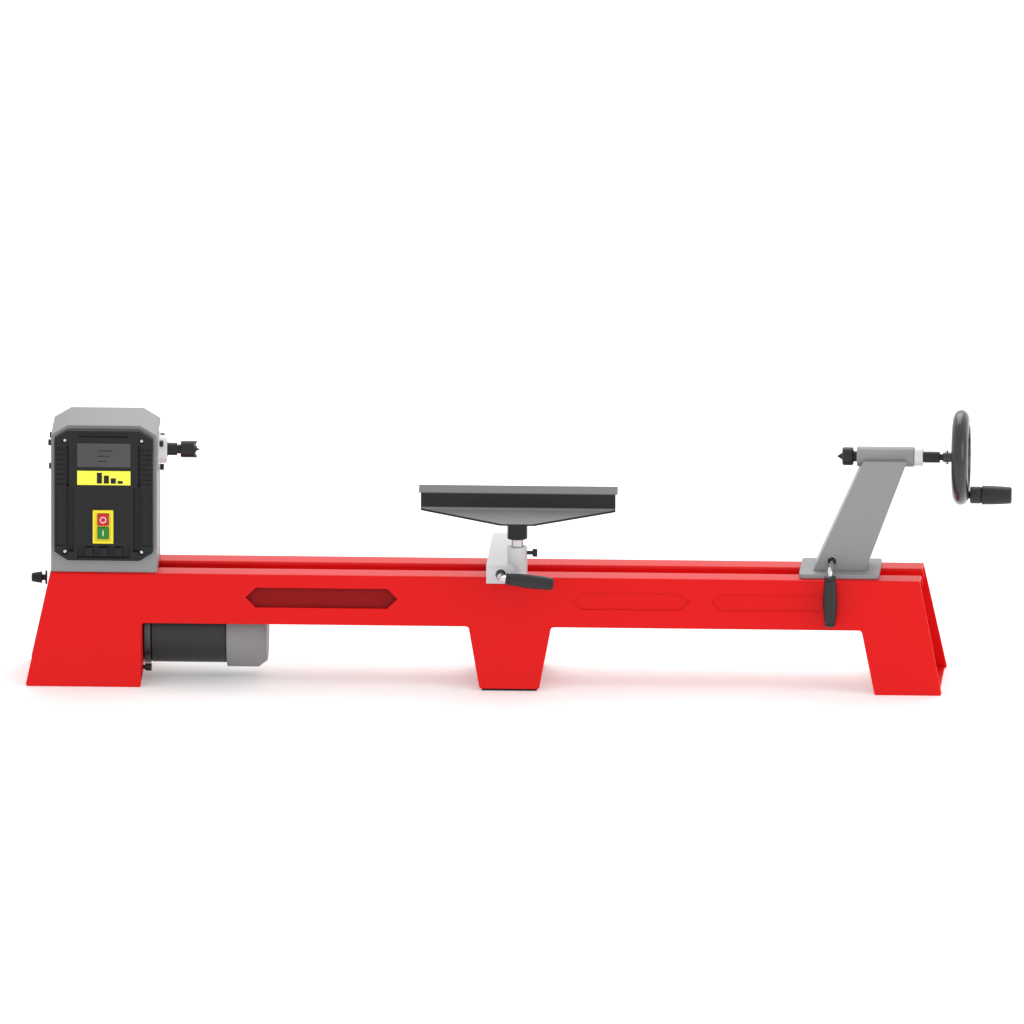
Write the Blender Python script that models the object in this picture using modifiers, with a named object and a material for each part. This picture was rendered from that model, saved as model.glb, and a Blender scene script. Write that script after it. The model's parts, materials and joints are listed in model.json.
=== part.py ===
"""Bench-top wood lathe for turning between centres.

Metres, +Z up. The origin is on the ground under the middle of the centre foot,
+X runs along the bed to the tailstock and +Y to the back.
"""

import math

import bmesh
import bpy
from mathutils import Matrix, Vector

# ---- clearances shared by all pieces ----
GAP = 0.0003  # between pieces that touch
RUNNING_GAP = 0.0006  # around a shaft in its hole

# ---- bed ----
BED_HEIGHT = 0.167  # top of the rails
BEAM_DEPTH = 0.073  # height of the side plates between the feet
SHEET = 0.003  # wall of the folded side plates
FOLD_RADIUS = 0.0045
BED_TOP_WIDTH = 0.124
BED_FOOT_WIDTH = 0.180  # the sides splay outwards down to this
RAIL_WIDTH = 0.042
LIP_DEPTH = 0.015  # down-turned inner edge of each rail
BED_LEFT_TOP = -0.6814
BED_RIGHT_TOP = 0.6075
END_SLOPE_LEFT = 0.0362  # how far the left end runs out from top to ground
END_SLOPE_RIGHT = 0.0342
LEFT_FOOT_INNER = -0.5463
RIGHT_FOOT_INNER = 0.5418  # at the ground
RIGHT_FOOT_DRAFT = 0.0201  # the inner edge moves left by this up to the beam
CENTRE_FOOT_TOP = 0.1224
CENTRE_FOOT_BOTTOM = 0.0884
FOOT_PAD_HEIGHT = 0.0034  # rubber pad under the centre foot
ARCH_CORNER = 0.005
FOOT_CORNER = 0.003

# ---- windows in the front plate ----
WINDOW_HEIGHT_CENTRE = BED_HEIGHT - 0.034
WINDOW_TIP = 0.015  # length of each pointed end
OPEN_WINDOW = (-0.392, -0.167, 0.029)  # left tip, right tip, height
PRESSED_WINDOWS = ((0.0913, 0.2671, 0.025), (0.2982, 0.474, 0.025))
PRESSED_DEPTH = 0.003
BACKING_INSET = 0.006  # brace plate behind the open window

# ---- feet ----
FOOT_PLATE = 0.003
FOOT_HOLE = 0.0045  # radius of the bench bolt holes
FOOT_HOLE_INSET = 0.022
GLAND_HEIGHT = BED_HEIGHT - 0.0225
END_INSET = 0.0015  # the left end wall stands this far inside the sheet's edge

# ---- headstock ----
SPINDLE_OVER_BED = 0.175
BOX_LEFT = -0.681
BOX_LENGTH = 0.157
BOX_DEPTH = 0.116
BOX_HEIGHT = 0.2235
BOX_WALL = 0.0025
BOX_CHAMFER = (0.025, 0.015)
PANEL_MARGIN = 0.005
PANEL_PROUD = 0.012
PANEL_BOTTOM = BED_HEIGHT + 0.020
PANEL_HEIGHT = 0.1983
PANEL_CHAMFER = (0.020, 0.013)
FRAME_INSET = 0.024  # from the panel's edge to the opening behind it
PANEL_SCREW_INSET = (0.016, 0.0171)  # from the panel's left and right edges
PANEL_SCREW_HEIGHTS = (0.1827, 0.0135)  # above the panel's bottom edge
SWITCH_LEFT = 0.0575  # from the panel's left edge
SWITCH_WIDTH = 0.0307
SWITCH_BOTTOM = 0.0271  # above the panel's bottom edge
SWITCH_HEIGHT = 0.0508
BUTTON_TRAVEL_ROOM = 0.005
LABEL_LEFT = 0.0345
LABEL_WIDTH = 0.0789
LABEL_THICKNESS = 0.0006
INFO_LABEL_SPAN = (0.143, 0.179)  # above the panel's bottom edge
SPEED_LABEL_SPAN = (0.1157, 0.1371)

# ---- spindle ----
SPINDLE_RADIUS = 0.010
BEARING_RADIUS = 0.021
BEARING_WIDTH = 0.012
FLANGE_RADIUS = 0.035
FLANGE_THICKNESS = 0.002
FLANGE_BOLT_CIRCLE = 0.0275
BOSS_RADIUS = 0.0208
BOSS_LENGTH = 0.0132
COLLAR_RADIUS = 0.00945
COLLAR_REACH = 0.0276  # how far the spindle's collar ends outside the box
NECK_RADIUS = 0.0068
NECK_LENGTH = 0.005
CROWN_RADIUS = 0.01245
CROWN_LENGTH = 0.0241
CROWN_DEPTH = 0.0044  # of the gaps between its prongs
PRONG_FLOOR = 0.0006  # the notches stop this far above the hollow round the point
CENTRE_POINT = 0.0094  # length of the point, from the bottom of those gaps
BOLT_HEAD_RADIUS = 0.0048
BOLT_HEAD_LENGTH = 0.0053
BOLT_SHANK_RADIUS = 0.003

# ---- belt drive ----
STEP_DIAMETERS = (0.084, 0.070, 0.056, 0.042)
STEP_WIDTH = 0.014
BELT_STEP = 2  # the step that the belt runs on, from the left
PULLEY_LEFT = BOX_LEFT + 0.063
BELT_WIDTH = 0.008
BELT_DEPTH = 0.005
PULLEY_BORE = 0.007
MOTOR_SHAFT_RADIUS = 0.007

# ---- motor ----
MOTOR_HEIGHT = 0.0715
MOTOR_RADIUS = 0.052
MOTOR_FLANGE_LEFT = -0.545
MOTOR_FLANGE_THICKNESS = 0.0114
MOTOR_BODY_LENGTH = 0.112
FAN_COVER_LENGTH = 0.0598
FAN_COVER_RADIUS = 0.058
MOTOR_TRAVEL = 0.012  # upward slide that slackens the belt

# ---- tool rest carrier (banjo) ----
BANJO_LEFT = -0.0335
BANJO_WIDTH = 0.0434
BANJO_FRONT = -0.105
BANJO_LENGTH = 0.206
BANJO_HEIGHT = 0.0279
BANJO_WALL = 0.005
CLAMP_ROD_X = -0.0118
CLAMP_ROD_HEIGHT = BED_HEIGHT + 0.014
CLAMP_ROD_RADIUS = 0.005
SLEEVE_X = 0.0118
SLEEVE_Y = -0.082
SLEEVE_RADIUS = 0.0149
SLEEVE_TOP = BED_HEIGHT + 0.052
STEM_RADIUS = 0.009
SOCKET_RADIUS = 0.015
SOCKET_BOTTOM = BED_HEIGHT + 0.0645
REST_EDGE = (-0.097, BED_HEIGHT + 0.089)  # lower front edge of the rest, as (Y, Z)
REST_FOLD = (-0.057, BED_HEIGHT + 0.103)
REST_BAND_TOP = BED_HEIGHT + 0.126
REST_LIP = (-0.047, BED_HEIGHT + 0.136)
REST_FLAT = 0.044  # length of the lower edge, between its slanting ends
REST_LENGTH = 0.2947
REST_SHEET = 0.003
REST_LIP_OVERHANG = 0.003  # how much longer the lip is than the band, at each end
REST_BEND = 0.0055  # radius of the rest's folds

# ---- tailstock ----
TAIL_LEFT = 0.428
TAIL_LENGTH = 0.1186
TAIL_DEPTH = 0.107
TAIL_PLATE = 0.007
UPRIGHT_DEPTH = 0.060
BARREL_RADIUS = 0.0149
BARREL_LEFT = TAIL_LEFT + 0.0837
BARREL_LENGTH = 0.0849
QUILL_RADIUS = 0.0095
SCREW_RADIUS = 0.005
SCREW_COLLAR_RADIUS = 0.0086
LOCK_RING_RADIUS = 0.0135
LOCK_RING_LENGTH = 0.0134
WHEEL_X = BARREL_LEFT + BARREL_LENGTH + 0.0694
WHEEL_RADIUS = 0.0706
WHEEL_RIM = 0.0125  # half the rim's width
CRANK_RADIUS = 0.057  # from the wheel's axis to the crank handle's
TAIL_LEVER_X = TAIL_LEFT + 0.0478
TAIL_LEVER_HEIGHT = BED_HEIGHT + 0.0217

# ---- values that follow from the ones above ----
RAIL_OUTER = BED_TOP_WIDTH / 2
SLOT_HALF = RAIL_OUTER - RAIL_WIDTH
FOOT_OUTER = BED_FOOT_WIDTH / 2
BEAM_BOTTOM = BED_HEIGHT - BEAM_DEPTH
SPINDLE_HEIGHT = BED_HEIGHT + SPINDLE_OVER_BED
BOX_RIGHT = BOX_LEFT + BOX_LENGTH
BOX_TOP = BED_HEIGHT + BOX_HEIGHT
BOX_FRONT = -BOX_DEPTH / 2
PANEL_LEFT = BOX_LEFT + PANEL_MARGIN
PANEL_RIGHT = BOX_RIGHT - PANEL_MARGIN
PANEL_TOP = PANEL_BOTTOM + PANEL_HEIGHT
PANEL_FRONT = BOX_FRONT - PANEL_PROUD
BOSS_END = BOX_RIGHT + BOSS_LENGTH
COLLAR_END = BOX_RIGHT + COLLAR_REACH
NECK_END = COLLAR_END + NECK_LENGTH
BED_TOP = BED_HEIGHT + GAP  # where pieces that stand on the rails start
MOTOR_FLANGE_RIGHT = MOTOR_FLANGE_LEFT + MOTOR_FLANGE_THICKNESS
MOTOR_BODY_RIGHT = MOTOR_FLANGE_RIGHT + MOTOR_BODY_LENGTH
BARREL_RIGHT = BARREL_LEFT + BARREL_LENGTH
TAIL_TOP = BED_TOP + TAIL_PLATE

PARTS = None  # the collection of the lathe's pieces
CUTTERS = None  # the collection of hidden shapes that cut or join them


# ---- scene and materials ----
def clear_scene():
    for old in list(bpy.data.objects):
        bpy.data.objects.remove(old, do_unlink=True)


def new_collection(name):
    collection = bpy.data.collections.new(name)
    bpy.context.scene.collection.children.link(collection)
    return collection


def linear(channel):
    return channel / 12.92 if channel <= 0.04045 else ((channel + 0.055) / 1.055) ** 2.4


def finish(name, hex_colour, roughness, metallic=0.0):
    channels = [int(hex_colour[i : i + 2], 16) / 255 for i in (0, 2, 4)]
    made = bpy.data.materials.new(name)
    made.use_nodes = True
    shader = made.node_tree.nodes["Principled BSDF"]
    shader.inputs["Base Color"].default_value = [*map(linear, channels), 1.0]
    shader.inputs["Roughness"].default_value = roughness
    shader.inputs["Metallic"].default_value = metallic
    made.diffuse_color = shader.inputs["Base Color"].default_value
    return made


# ---- shapes ----
def add(name, mesh, material=None, location=(0, 0, 0)):
    """Places a mesh as a lathe piece, or as a hidden cutter if it has no material."""
    obj = bpy.data.objects.new(name, mesh)
    obj.location = location
    if material is None:
        CUTTERS.objects.link(obj)
        obj.hide_render = True
        obj.display_type = "WIRE"
    else:
        PARTS.objects.link(obj)
        mesh.materials.append(material)
    return obj


def mesh_from(bm, name, smooth=False):
    mesh = bpy.data.meshes.new(name)
    bm.to_mesh(mesh)
    bm.free()
    if smooth:
        mesh.shade_smooth()
        mesh.set_sharp_from_angle(angle=math.radians(35))
    return mesh


def block(name, low, high, material=None, bevel=0.0, segments=2):
    """A box between two corners, with its origin at its centre."""
    low = Vector(low)
    high = Vector(high)
    bm = bmesh.new()
    bmesh.ops.create_cube(bm, size=1)
    bmesh.ops.scale(bm, vec=high - low, verts=bm.verts)
    obj = add(name, mesh_from(bm, name), material, (low + high) / 2)
    if bevel:
        modifier = obj.modifiers.new("Edges", "BEVEL")
        modifier.width = bevel
        modifier.segments = segments
    return obj


def turn_to(axis):
    """The rotation that takes +Z to an axis."""
    return Vector((0, 0, 1)).rotation_difference(Vector(axis)).to_matrix().to_4x4()


def rod(name, start, end, radius, material=None, end_radius=None, segments=16):
    """A round bar, or a cone, between two points."""
    start = Vector(start)
    end = Vector(end)
    along = end - start
    bm = bmesh.new()
    bmesh.ops.create_cone(
        bm,
        cap_ends=True,
        segments=segments,
        radius1=radius,
        radius2=radius if end_radius is None else end_radius,
        depth=along.length,
    )
    bmesh.ops.rotate(bm, matrix=turn_to(along).to_3x3(), verts=bm.verts)
    return add(name, mesh_from(bm, name, smooth=True), material, (start + end) / 2)


def turned(name, profile, origin, axis, material=None, steps=32, hollow=False):
    """A turned shape. The profile is a list of (distance along the axis, radius).

    A solid shape starts and ends on the axis. A hollow one is a closed outline clear of it.
    """
    points = [Vector((radius, 0, along)) for along, radius in profile]
    bm = bmesh.new()
    verts = [bm.verts.new(point) for point in reversed(points)]
    ends = zip(verts, verts[1:] + verts[:1]) if hollow else zip(verts, verts[1:])
    for first, second in ends:
        bm.edges.new((first, second))
    mesh = mesh_from(bm, name)
    obj = add(name, mesh, material, origin)
    obj.rotation_mode = "QUATERNION"
    obj.rotation_quaternion = turn_to(axis).to_quaternion()
    screw = obj.modifiers.new("Turn", "SCREW")
    screw.steps = steps
    screw.render_steps = steps
    screw.use_merge_vertices = True
    screw.merge_threshold = 0.00001
    screw.use_smooth_shade = True
    return obj


def ring_profile(start, end, inner, outer):
    """The closed outline of a plain ring, for a hollow turned shape."""
    return [(start, inner), (start, outer), (end, outer), (end, inner)]


def arc(centre, start, end, radius, steps):
    """Points around a centre, from the direction of one vector to that of another."""
    first, last = start.normalized(), end.normalized()
    return [centre + first.slerp(last, i / steps) * radius for i in range(steps + 1)]


def rounded(points, radii, steps=3, closed=True):
    """The outline with each corner replaced by an arc of its radius."""
    result = []
    count = len(points)
    for i, point in enumerate(points):
        radius = radii[i] if isinstance(radii, (list, tuple)) else radii
        if radius == 0 or (not closed and i in (0, count - 1)):
            result.append(Vector(point))
            continue
        corner = Vector(point)
        before = (Vector(points[i - 1]) - corner).normalized()
        after = (Vector(points[(i + 1) % count]) - corner).normalized()
        half = before.angle(after) / 2
        centre = corner + (before + after).normalized() * radius / math.sin(half)
        start = corner + before * radius / math.tan(half) - centre
        end = corner + after * radius / math.tan(half) - centre
        result += arc(centre, start, end, radius, steps)
    return result


def prism(name, outline, axis, start, end, material=None):
    """An outline drawn across an axis ("X", "Y" or "Z") and extruded along it.

    The outline's points are (Y, Z), (X, Z) or (X, Y).
    """
    order = {"X": (2, 0, 1), "Y": (0, 2, 1), "Z": (0, 1, 2)}[axis]
    bm = bmesh.new()
    verts = [bm.verts.new([(*point, start)[i] for i in order]) for point in outline]
    bm.faces.new(verts)
    push = Vector([(0, 0, end - start)[i] for i in order])
    swept = bmesh.ops.extrude_face_region(bm, geom=bm.faces[:])
    moved = [item for item in swept["geom"] if isinstance(item, bmesh.types.BMVert)]
    bmesh.ops.translate(bm, vec=push, verts=moved)
    bmesh.ops.recalc_face_normals(bm, faces=bm.faces)
    return add(name, mesh_from(bm, name), material)


def boolean(obj, other, operation="DIFFERENCE"):
    modifier = obj.modifiers.new(other.name, "BOOLEAN")
    modifier.operation = operation
    modifier.object = other
    modifier.solver = "EXACT"


def cut(obj, *cutters):
    for cutter in cutters:
        boolean(obj, cutter)


def join(obj, *others):
    for other in others:
        boolean(obj, other, "UNION")


def pivot(name, location):
    """An empty on a joint's axis, which carries the pieces that move with it."""
    empty = bpy.data.objects.new(name, None)
    empty.location = location
    empty.empty_display_size = 0.02
    PARTS.objects.link(empty)
    return empty


def carry(parent, *children):
    """Parents pieces without moving them."""
    bpy.context.view_layer.update()
    for child in children:
        child.parent = parent
        child.matrix_parent_inverse = parent.matrix_world.inverted()


# ---- bed ----
def side_y(z):
    """How far the splayed outer face of a side plate stands from the middle at a height."""
    return FOOT_OUTER - (FOOT_OUTER - RAIL_OUTER) * z / BED_HEIGHT


def left_edge(z):
    return BED_LEFT_TOP - END_SLOPE_LEFT * (1 - z / BED_HEIGHT)


def right_edge(z):
    return BED_RIGHT_TOP + END_SLOPE_RIGHT * (1 - z / BED_HEIGHT)


def window_outline(left, right, height, grow=0.0):
    """A long hexagon with a point at each end."""
    top = WINDOW_HEIGHT_CENTRE + height / 2 + grow
    bottom = WINDOW_HEIGHT_CENTRE - height / 2 - grow
    return [
        (left - grow, WINDOW_HEIGHT_CENTRE),
        (left + WINDOW_TIP, bottom),
        (right - WINDOW_TIP, bottom),
        (right + grow, WINDOW_HEIGHT_CENTRE),
        (right - WINDOW_TIP, top),
        (left + WINDOW_TIP, top),
    ]


def side_outline():
    """The side plate seen from the front: three feet under a straight beam."""
    top = BED_HEIGHT + 0.01
    beam = BEAM_BOTTOM
    pad = FOOT_PAD_HEIGHT
    points = [
        (left_edge(0), 0),
        (LEFT_FOOT_INNER, 0),
        (LEFT_FOOT_INNER, beam),
        (-CENTRE_FOOT_TOP / 2, beam),
        (-CENTRE_FOOT_BOTTOM / 2, pad),
        (CENTRE_FOOT_BOTTOM / 2, pad),
        (CENTRE_FOOT_TOP / 2, beam),
        (RIGHT_FOOT_INNER - RIGHT_FOOT_DRAFT, beam),
        (RIGHT_FOOT_INNER, 0),
        (right_edge(0), 0),
        (right_edge(top), top),
        (left_edge(top), top),
    ]
    radii = [FOOT_CORNER] * 2 + [ARCH_CORNER] * 2 + [FOOT_CORNER] * 2
    radii += [ARCH_CORNER] * 2 + [FOOT_CORNER] * 2 + [0, 0]
    return rounded(points, radii)


def folded_section(side):
    """Outer line of a side plate across the bed: lip, rail and splayed side."""
    line = [
        (side * SLOT_HALF, BED_HEIGHT - LIP_DEPTH),
        (side * SLOT_HALF, BED_HEIGHT),
        (side * RAIL_OUTER, BED_HEIGHT),
        (side * side_y(0), 0),
    ]
    return rounded(line, FOLD_RADIUS, closed=False)


def side_plate(name, side, material):
    """One folded sheet, cut to the side outline. side is -1 in front and 1 behind."""
    line = folded_section(side)
    bm = bmesh.new()
    rows = []
    for x in (left_edge(0) - 0.01, right_edge(0) + 0.01):
        rows.append([bm.verts.new((x, *point)) for point in line])
    for i in range(len(line) - 1):
        bm.faces.new((rows[0][i], rows[1][i], rows[1][i + 1], rows[0][i + 1]))
    if side > 0:
        bmesh.ops.reverse_faces(bm, faces=bm.faces)
    plate = add(name, mesh_from(bm, name), material)
    wall = plate.modifiers.new("Wall", "SOLIDIFY")
    wall.thickness = SHEET
    wall.offset = 1
    wall.use_even_offset = True
    trim = prism(f"{name}_outline", side_outline(), "Y", -0.2, 0.2)
    boolean(plate, trim, "INTERSECT")
    return plate


def sloped(name, outline, outer, inner, material=None):
    """A prism that follows the splay of the front plate, between two depths behind its face."""
    obj = prism(name, outline, "Y", 0, inner - outer, material)
    for vert in obj.data.vertices:
        vert.co.y += outer - side_y(vert.co.z)
    return obj


def window_details(front):
    left, right, height = OPEN_WINDOW
    outline = window_outline(left, right, height)
    cut(front, sloped("open_window_cut", outline, -0.01, 0.02))
    for i, (left, right, height) in enumerate(PRESSED_WINDOWS, 1):
        pan = window_outline(left, right, height, grow=SHEET)
        join(front, sloped(f"pressed_pan_{i}", pan, SHEET / 2, SHEET + PRESSED_DEPTH))
        recess = window_outline(left, right, height)
        cut(front, sloped(f"pressed_recess_{i}", recess, -0.01, PRESSED_DEPTH))


def foot_sheet(name, x0, x1, z0, material, holes):
    """A base plate across a foot, bent up along the splayed sides."""
    inner = side_y(z0) - SHEET - GAP * 2
    plate = block(name, (x0, -inner, z0), (x1, inner, z0 + FOOT_PLATE), material)
    for i, x in enumerate(holes):
        for side in (-1, 1):
            y = side * (inner - FOOT_HOLE_INSET)
            hole = rod(f"{name}_hole_{i}_{side}", (x, y, z0 - 0.01), (x, y, z0 + 0.01), FOOT_HOLE)
            cut(plate, hole)
    return plate


def end_outline(z0, z1):
    """The space between the side plates at two heights, seen along the bed."""
    spare = SHEET + GAP * 2
    low = side_y(z0) - spare
    high = side_y(z1) - spare
    return [(-low, z0), (low, z0), (high, z1), (-high, z1)]


def make_bed():
    red = finish("Red paint", "E81C1C", 0.35)
    dark_red = finish("Red paint, inner", "8C1012", 0.5)
    black = finish("Black rubber", "202020", 0.8)
    front = side_plate("bed_front_plate", -1, red)
    side_plate("bed_rear_plate", 1, red)
    window_details(front)
    left_hole = (left_edge(0) + LEFT_FOOT_INNER) / 2
    right_hole = (right_edge(0) + RIGHT_FOOT_INNER) / 2
    foot_sheet(
        "right_foot_plate", RIGHT_FOOT_INNER + 0.001, right_edge(0) - 0.004, 0, red, [right_hole]
    )
    half = CENTRE_FOOT_BOTTOM / 2 - FOOT_CORNER
    foot_sheet("centre_foot_plate", -half, half, FOOT_PAD_HEIGHT + GAP, red, [])
    pad_half = FOOT_OUTER - 0.003
    block(
        "centre_foot_pad",
        (-half, -pad_half, 0),
        (half, pad_half, FOOT_PAD_HEIGHT - GAP),
        black,
        bevel=0.001,
        segments=1,
    )
    top = BED_HEIGHT - SHEET - GAP
    # the left end wall and the base of the left foot are one bent sheet
    end = prism("left_end_plate", end_outline(0, top), "X", 0, SHEET, red)
    for vert in end.data.vertices:
        vert.co.x += left_edge(vert.co.z) + END_INSET
    clear_lips(end)
    foot_start = left_edge(0) + END_INSET + 0.001
    join(end, foot_sheet("left_foot_base", foot_start, LEFT_FOOT_INNER - 0.001, 0, None, [left_hole]))
    left, right, height = OPEN_WINDOW
    backing = window_outline(left - 0.01, right + 0.01, height + 0.02)
    depth = SHEET + BACKING_INSET
    sloped("window_backing_plate", backing, depth, depth + 0.002, dark_red)


def clear_lips(obj):
    """Notches a cross plate around the down-turned lips of both rails."""
    for side in (-1, 1):
        low = side * (SLOT_HALF - 0.002) if side > 0 else -(SLOT_HALF + SHEET + 0.002)
        high = low + SHEET + 0.004
        notch = block(
            f"lip_notch_{side}",
            (left_edge(0), low, BED_HEIGHT - LIP_DEPTH - 0.002),
            (right_edge(0), high, BED_HEIGHT + 0.01),
        )
        cut(obj, notch)


def make_cord_gland():
    black = finish("Black nylon", "2A2A2C", 0.45)
    plate_face = left_edge(GLAND_HEIGHT - 0.0105) + END_INSET - GAP
    edge = left_edge(GLAND_HEIGHT)
    reach = plate_face - (edge - 0.0057)
    profile = [
        (0, 0),
        (0, 0.0050),
        (0.0015, 0.0066),
        (0.0155, 0.0089),
        (0.0160, 0.0045),
        (0.0205, 0.0045),
        (0.0206, 0.0105),
        (0.0205 + reach - 0.002, 0.0105),
        (0.0205 + reach - 0.002, 0),
    ]
    turned("cord_gland", profile, (edge - 0.0262, 0, GLAND_HEIGHT), (1, 0, 0), black, steps=20)


# ---- headstock ----
def chamfered(left, right, bottom, top, chamfer, both=False):
    """A rectangle with its top corners cut off, or all four of them."""
    across, down = chamfer
    points = [(right, top - down), (right - across, top), (left + across, top), (left, top - down)]
    if both:
        points += [(left, bottom + down), (left + across, bottom)]
        points += [(right - across, bottom), (right, bottom + down)]
    else:
        points += [(left, bottom), (right, bottom)]
    return points


def flange_bolt_places():
    """(Y, Z) of the three bolts around the spindle: two above it and one below."""
    for degrees in (30, 150, 270):
        angle = math.radians(degrees)
        y = FLANGE_BOLT_CIRCLE * math.cos(angle)
        yield y, SPINDLE_HEIGHT + FLANGE_BOLT_CIRCLE * math.sin(angle)


def make_housing():
    grey = finish("Light grey paint", "A8A8A8", 0.5)
    outline = chamfered(BOX_LEFT, BOX_RIGHT, BED_TOP, BOX_TOP, BOX_CHAMFER)
    housing = prism("headstock_housing", outline, "Y", BOX_FRONT, -BOX_FRONT, grey)
    wall = BOX_WALL
    inside = chamfered(
        BOX_LEFT + wall, BOX_RIGHT - wall, BED_TOP + wall, BOX_TOP - wall, BOX_CHAMFER
    )
    cut(housing, prism("housing_inside", inside, "Y", BOX_FRONT + wall, -BOX_FRONT - wall))
    # the front wall is a frame: the control panel screws to it and covers its opening
    opening = chamfered(
        PANEL_LEFT + FRAME_INSET,
        PANEL_RIGHT - FRAME_INSET,
        PANEL_BOTTOM + FRAME_INSET,
        PANEL_TOP - FRAME_INSET,
        PANEL_CHAMFER,
        both=True,
    )
    cut(housing, prism("panel_opening", opening, "Y", BOX_FRONT - 0.01, BOX_FRONT + wall + 0.01))
    spare = 0.004
    belt_half = STEP_DIAMETERS[0] / 2 + spare
    belt_slot = block(
        "belt_opening",
        (PULLEY_LEFT - spare, -belt_half, BED_HEIGHT - 0.03),
        (PULLEY_LEFT + 4 * STEP_WIDTH + spare, belt_half, BED_TOP + wall + 0.01),
    )
    cut(housing, belt_slot)
    for rail in ("bed_front_plate", "bed_rear_plate"):
        cut(PARTS.objects[rail], belt_slot)
    centre = (0, SPINDLE_HEIGHT)
    hole = rod(
        "spindle_holes",
        (BOX_LEFT - 0.01, *centre),
        (BOX_RIGHT + 0.01, *centre),
        SPINDLE_RADIUS + 0.002,
    )
    cut(housing, hole)
    for i, place in enumerate(flange_bolt_places()):
        start = (BOX_LEFT - 0.01, *place)
        end = (BOX_RIGHT + 0.01, *place)
        cut(housing, rod(f"flange_bolt_hole_{i}", start, end, BOLT_SHANK_RADIUS + RUNNING_GAP))


def make_panel():
    """The moulded front cover with its grips, grooves, labels and switch."""
    black = finish("Black ABS", "303032", 0.55)
    silver = finish("Zinc-plated steel", "C8C8CC", 0.3, 1.0)
    left = PANEL_LEFT
    right = PANEL_RIGHT
    front = PANEL_FRONT
    back = BOX_FRONT - GAP
    outline = chamfered(left, right, PANEL_BOTTOM, PANEL_TOP, PANEL_CHAMFER, both=True)
    panel = prism("control_panel", outline, "Y", front, back, black)
    edge = panel.modifiers.new("Edges", "BEVEL")
    edge.width = 0.002
    edge.segments = 2
    edge.limit_method = "ANGLE"
    for name, sign, side in (("left", 1, left), ("right", -1, right)):
        narrow = sorted((side + sign * 0.0185, side + sign * 0.0225))
        wide = sorted((side + sign * 0.0185, side + sign * 0.0295))
        upper = block(
            f"{name}_narrow_groove",
            (narrow[0], front - 0.01, PANEL_BOTTOM + 0.1126),
            (narrow[1], front + 0.006, PANEL_BOTTOM + 0.1755),
        )
        lower = block(
            f"{name}_wide_groove",
            (wide[0], front - 0.01, PANEL_BOTTOM + 0.0137),
            (wide[1], front + 0.006, PANEL_BOTTOM + 0.1108),
        )
        cut(panel, upper, lower)
    number = 0
    housing = PARTS.objects["headstock_housing"]
    reach = PANEL_PROUD + BOX_WALL  # the screws go through the panel and the box's wall
    for x in (left + PANEL_SCREW_INSET[0], right - PANEL_SCREW_INSET[1]):
        for z in (PANEL_BOTTOM + height for height in PANEL_SCREW_HEIGHTS):
            number += 1
            pocket = rod(f"screw_pocket_{number}", (x, front - 0.01, z), (x, front + 0.003, z), 0.0045)
            shank = rod(f"screw_hole_{number}", (x, front, z), (x, back + 0.01, z), 0.0024)
            cut(panel, pocket, shank)
            cut(housing, shank)
            head = front + 0.001
            profile = [(0, 0), (0, 0.0022), (0.0008, 0.0031), (0.0017, 0.0031)]
            profile += [(0.0017, 0.0019), (reach, 0.0019), (reach, 0)]
            turned(f"panel_screw_{number}", profile, (x, head, z), (0, 1, 0), silver, steps=8)
    rim = 0.001  # how far the switch's flange overlaps the panel round its pocket
    switch_left = left + SWITCH_LEFT
    switch_bottom = PANEL_BOTTOM + SWITCH_BOTTOM
    switch_pocket = block(
        "switch_pocket",
        (switch_left + rim, front - 0.01, switch_bottom + rim),
        (switch_left + SWITCH_WIDTH - rim, back + 0.01, switch_bottom + SWITCH_HEIGHT - rim),
    )
    cut(panel, switch_pocket)
    make_labels(front)
    make_switch(front)


def make_labels(front):
    grey = finish("Printed label, grey", "585858", 0.4)
    yellow = finish("Printed label, yellow", "FCFC5A", 0.4)
    back = front - GAP
    left = PANEL_LEFT + LABEL_LEFT
    right = left + LABEL_WIDTH
    for name, span, colour in (
        ("info_label", INFO_LABEL_SPAN, grey),
        ("speed_label", SPEED_LABEL_SPAN, yellow),
    ):
        low = (left, back - LABEL_THICKNESS, PANEL_BOTTOM + span[0])
        block(name, low, (right, back, PANEL_BOTTOM + span[1]), colour)


def make_switch(front):
    yellow = finish("Yellow ABS", "F8EC46", 0.4)
    red = finish("Red ABS", "CD2D37", 0.35)
    green = finish("Green ABS", "288C2D", 0.35)
    back = front - GAP
    left = PANEL_LEFT + SWITCH_LEFT
    right = left + SWITCH_WIDTH
    bottom = PANEL_BOTTOM + SWITCH_BOTTOM
    top = bottom + SWITCH_HEIGHT
    frame = block(
        "switch_frame", (left, back - 0.004, bottom), (right, back, top), yellow, bevel=0.0008
    )
    inset = 0.002
    body = block(
        "switch_body",
        (left + inset, back - 0.001, bottom + inset),
        (right - inset, front + PANEL_PROUD, top - inset),
    )
    join(frame, body)
    border = 0.004
    recess = block(
        "switch_recess",
        (left + border, back - 0.01, bottom + border),
        (right - border, back - 0.0012, top - border),
    )
    cut(frame, recess)
    button_left = left + 0.0073
    button_right = right - 0.0072
    button_height = 0.0179
    start_bottom = bottom + 0.0069
    for name, low, colour in (
        ("stop_button", start_bottom + 0.0201, red),
        ("start_button", start_bottom, green),
    ):
        high = low + button_height
        depth = front + 0.003
        well = block(
            f"{name}_well",
            (button_left - GAP, back - 0.01, low - GAP),
            (button_right + GAP, depth + BUTTON_TRAVEL_ROOM, high + GAP),
        )
        cut(frame, well)
        block(name, (button_left, back - 0.0032, low), (button_right, depth, high), colour, bevel=0.0006)


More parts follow.
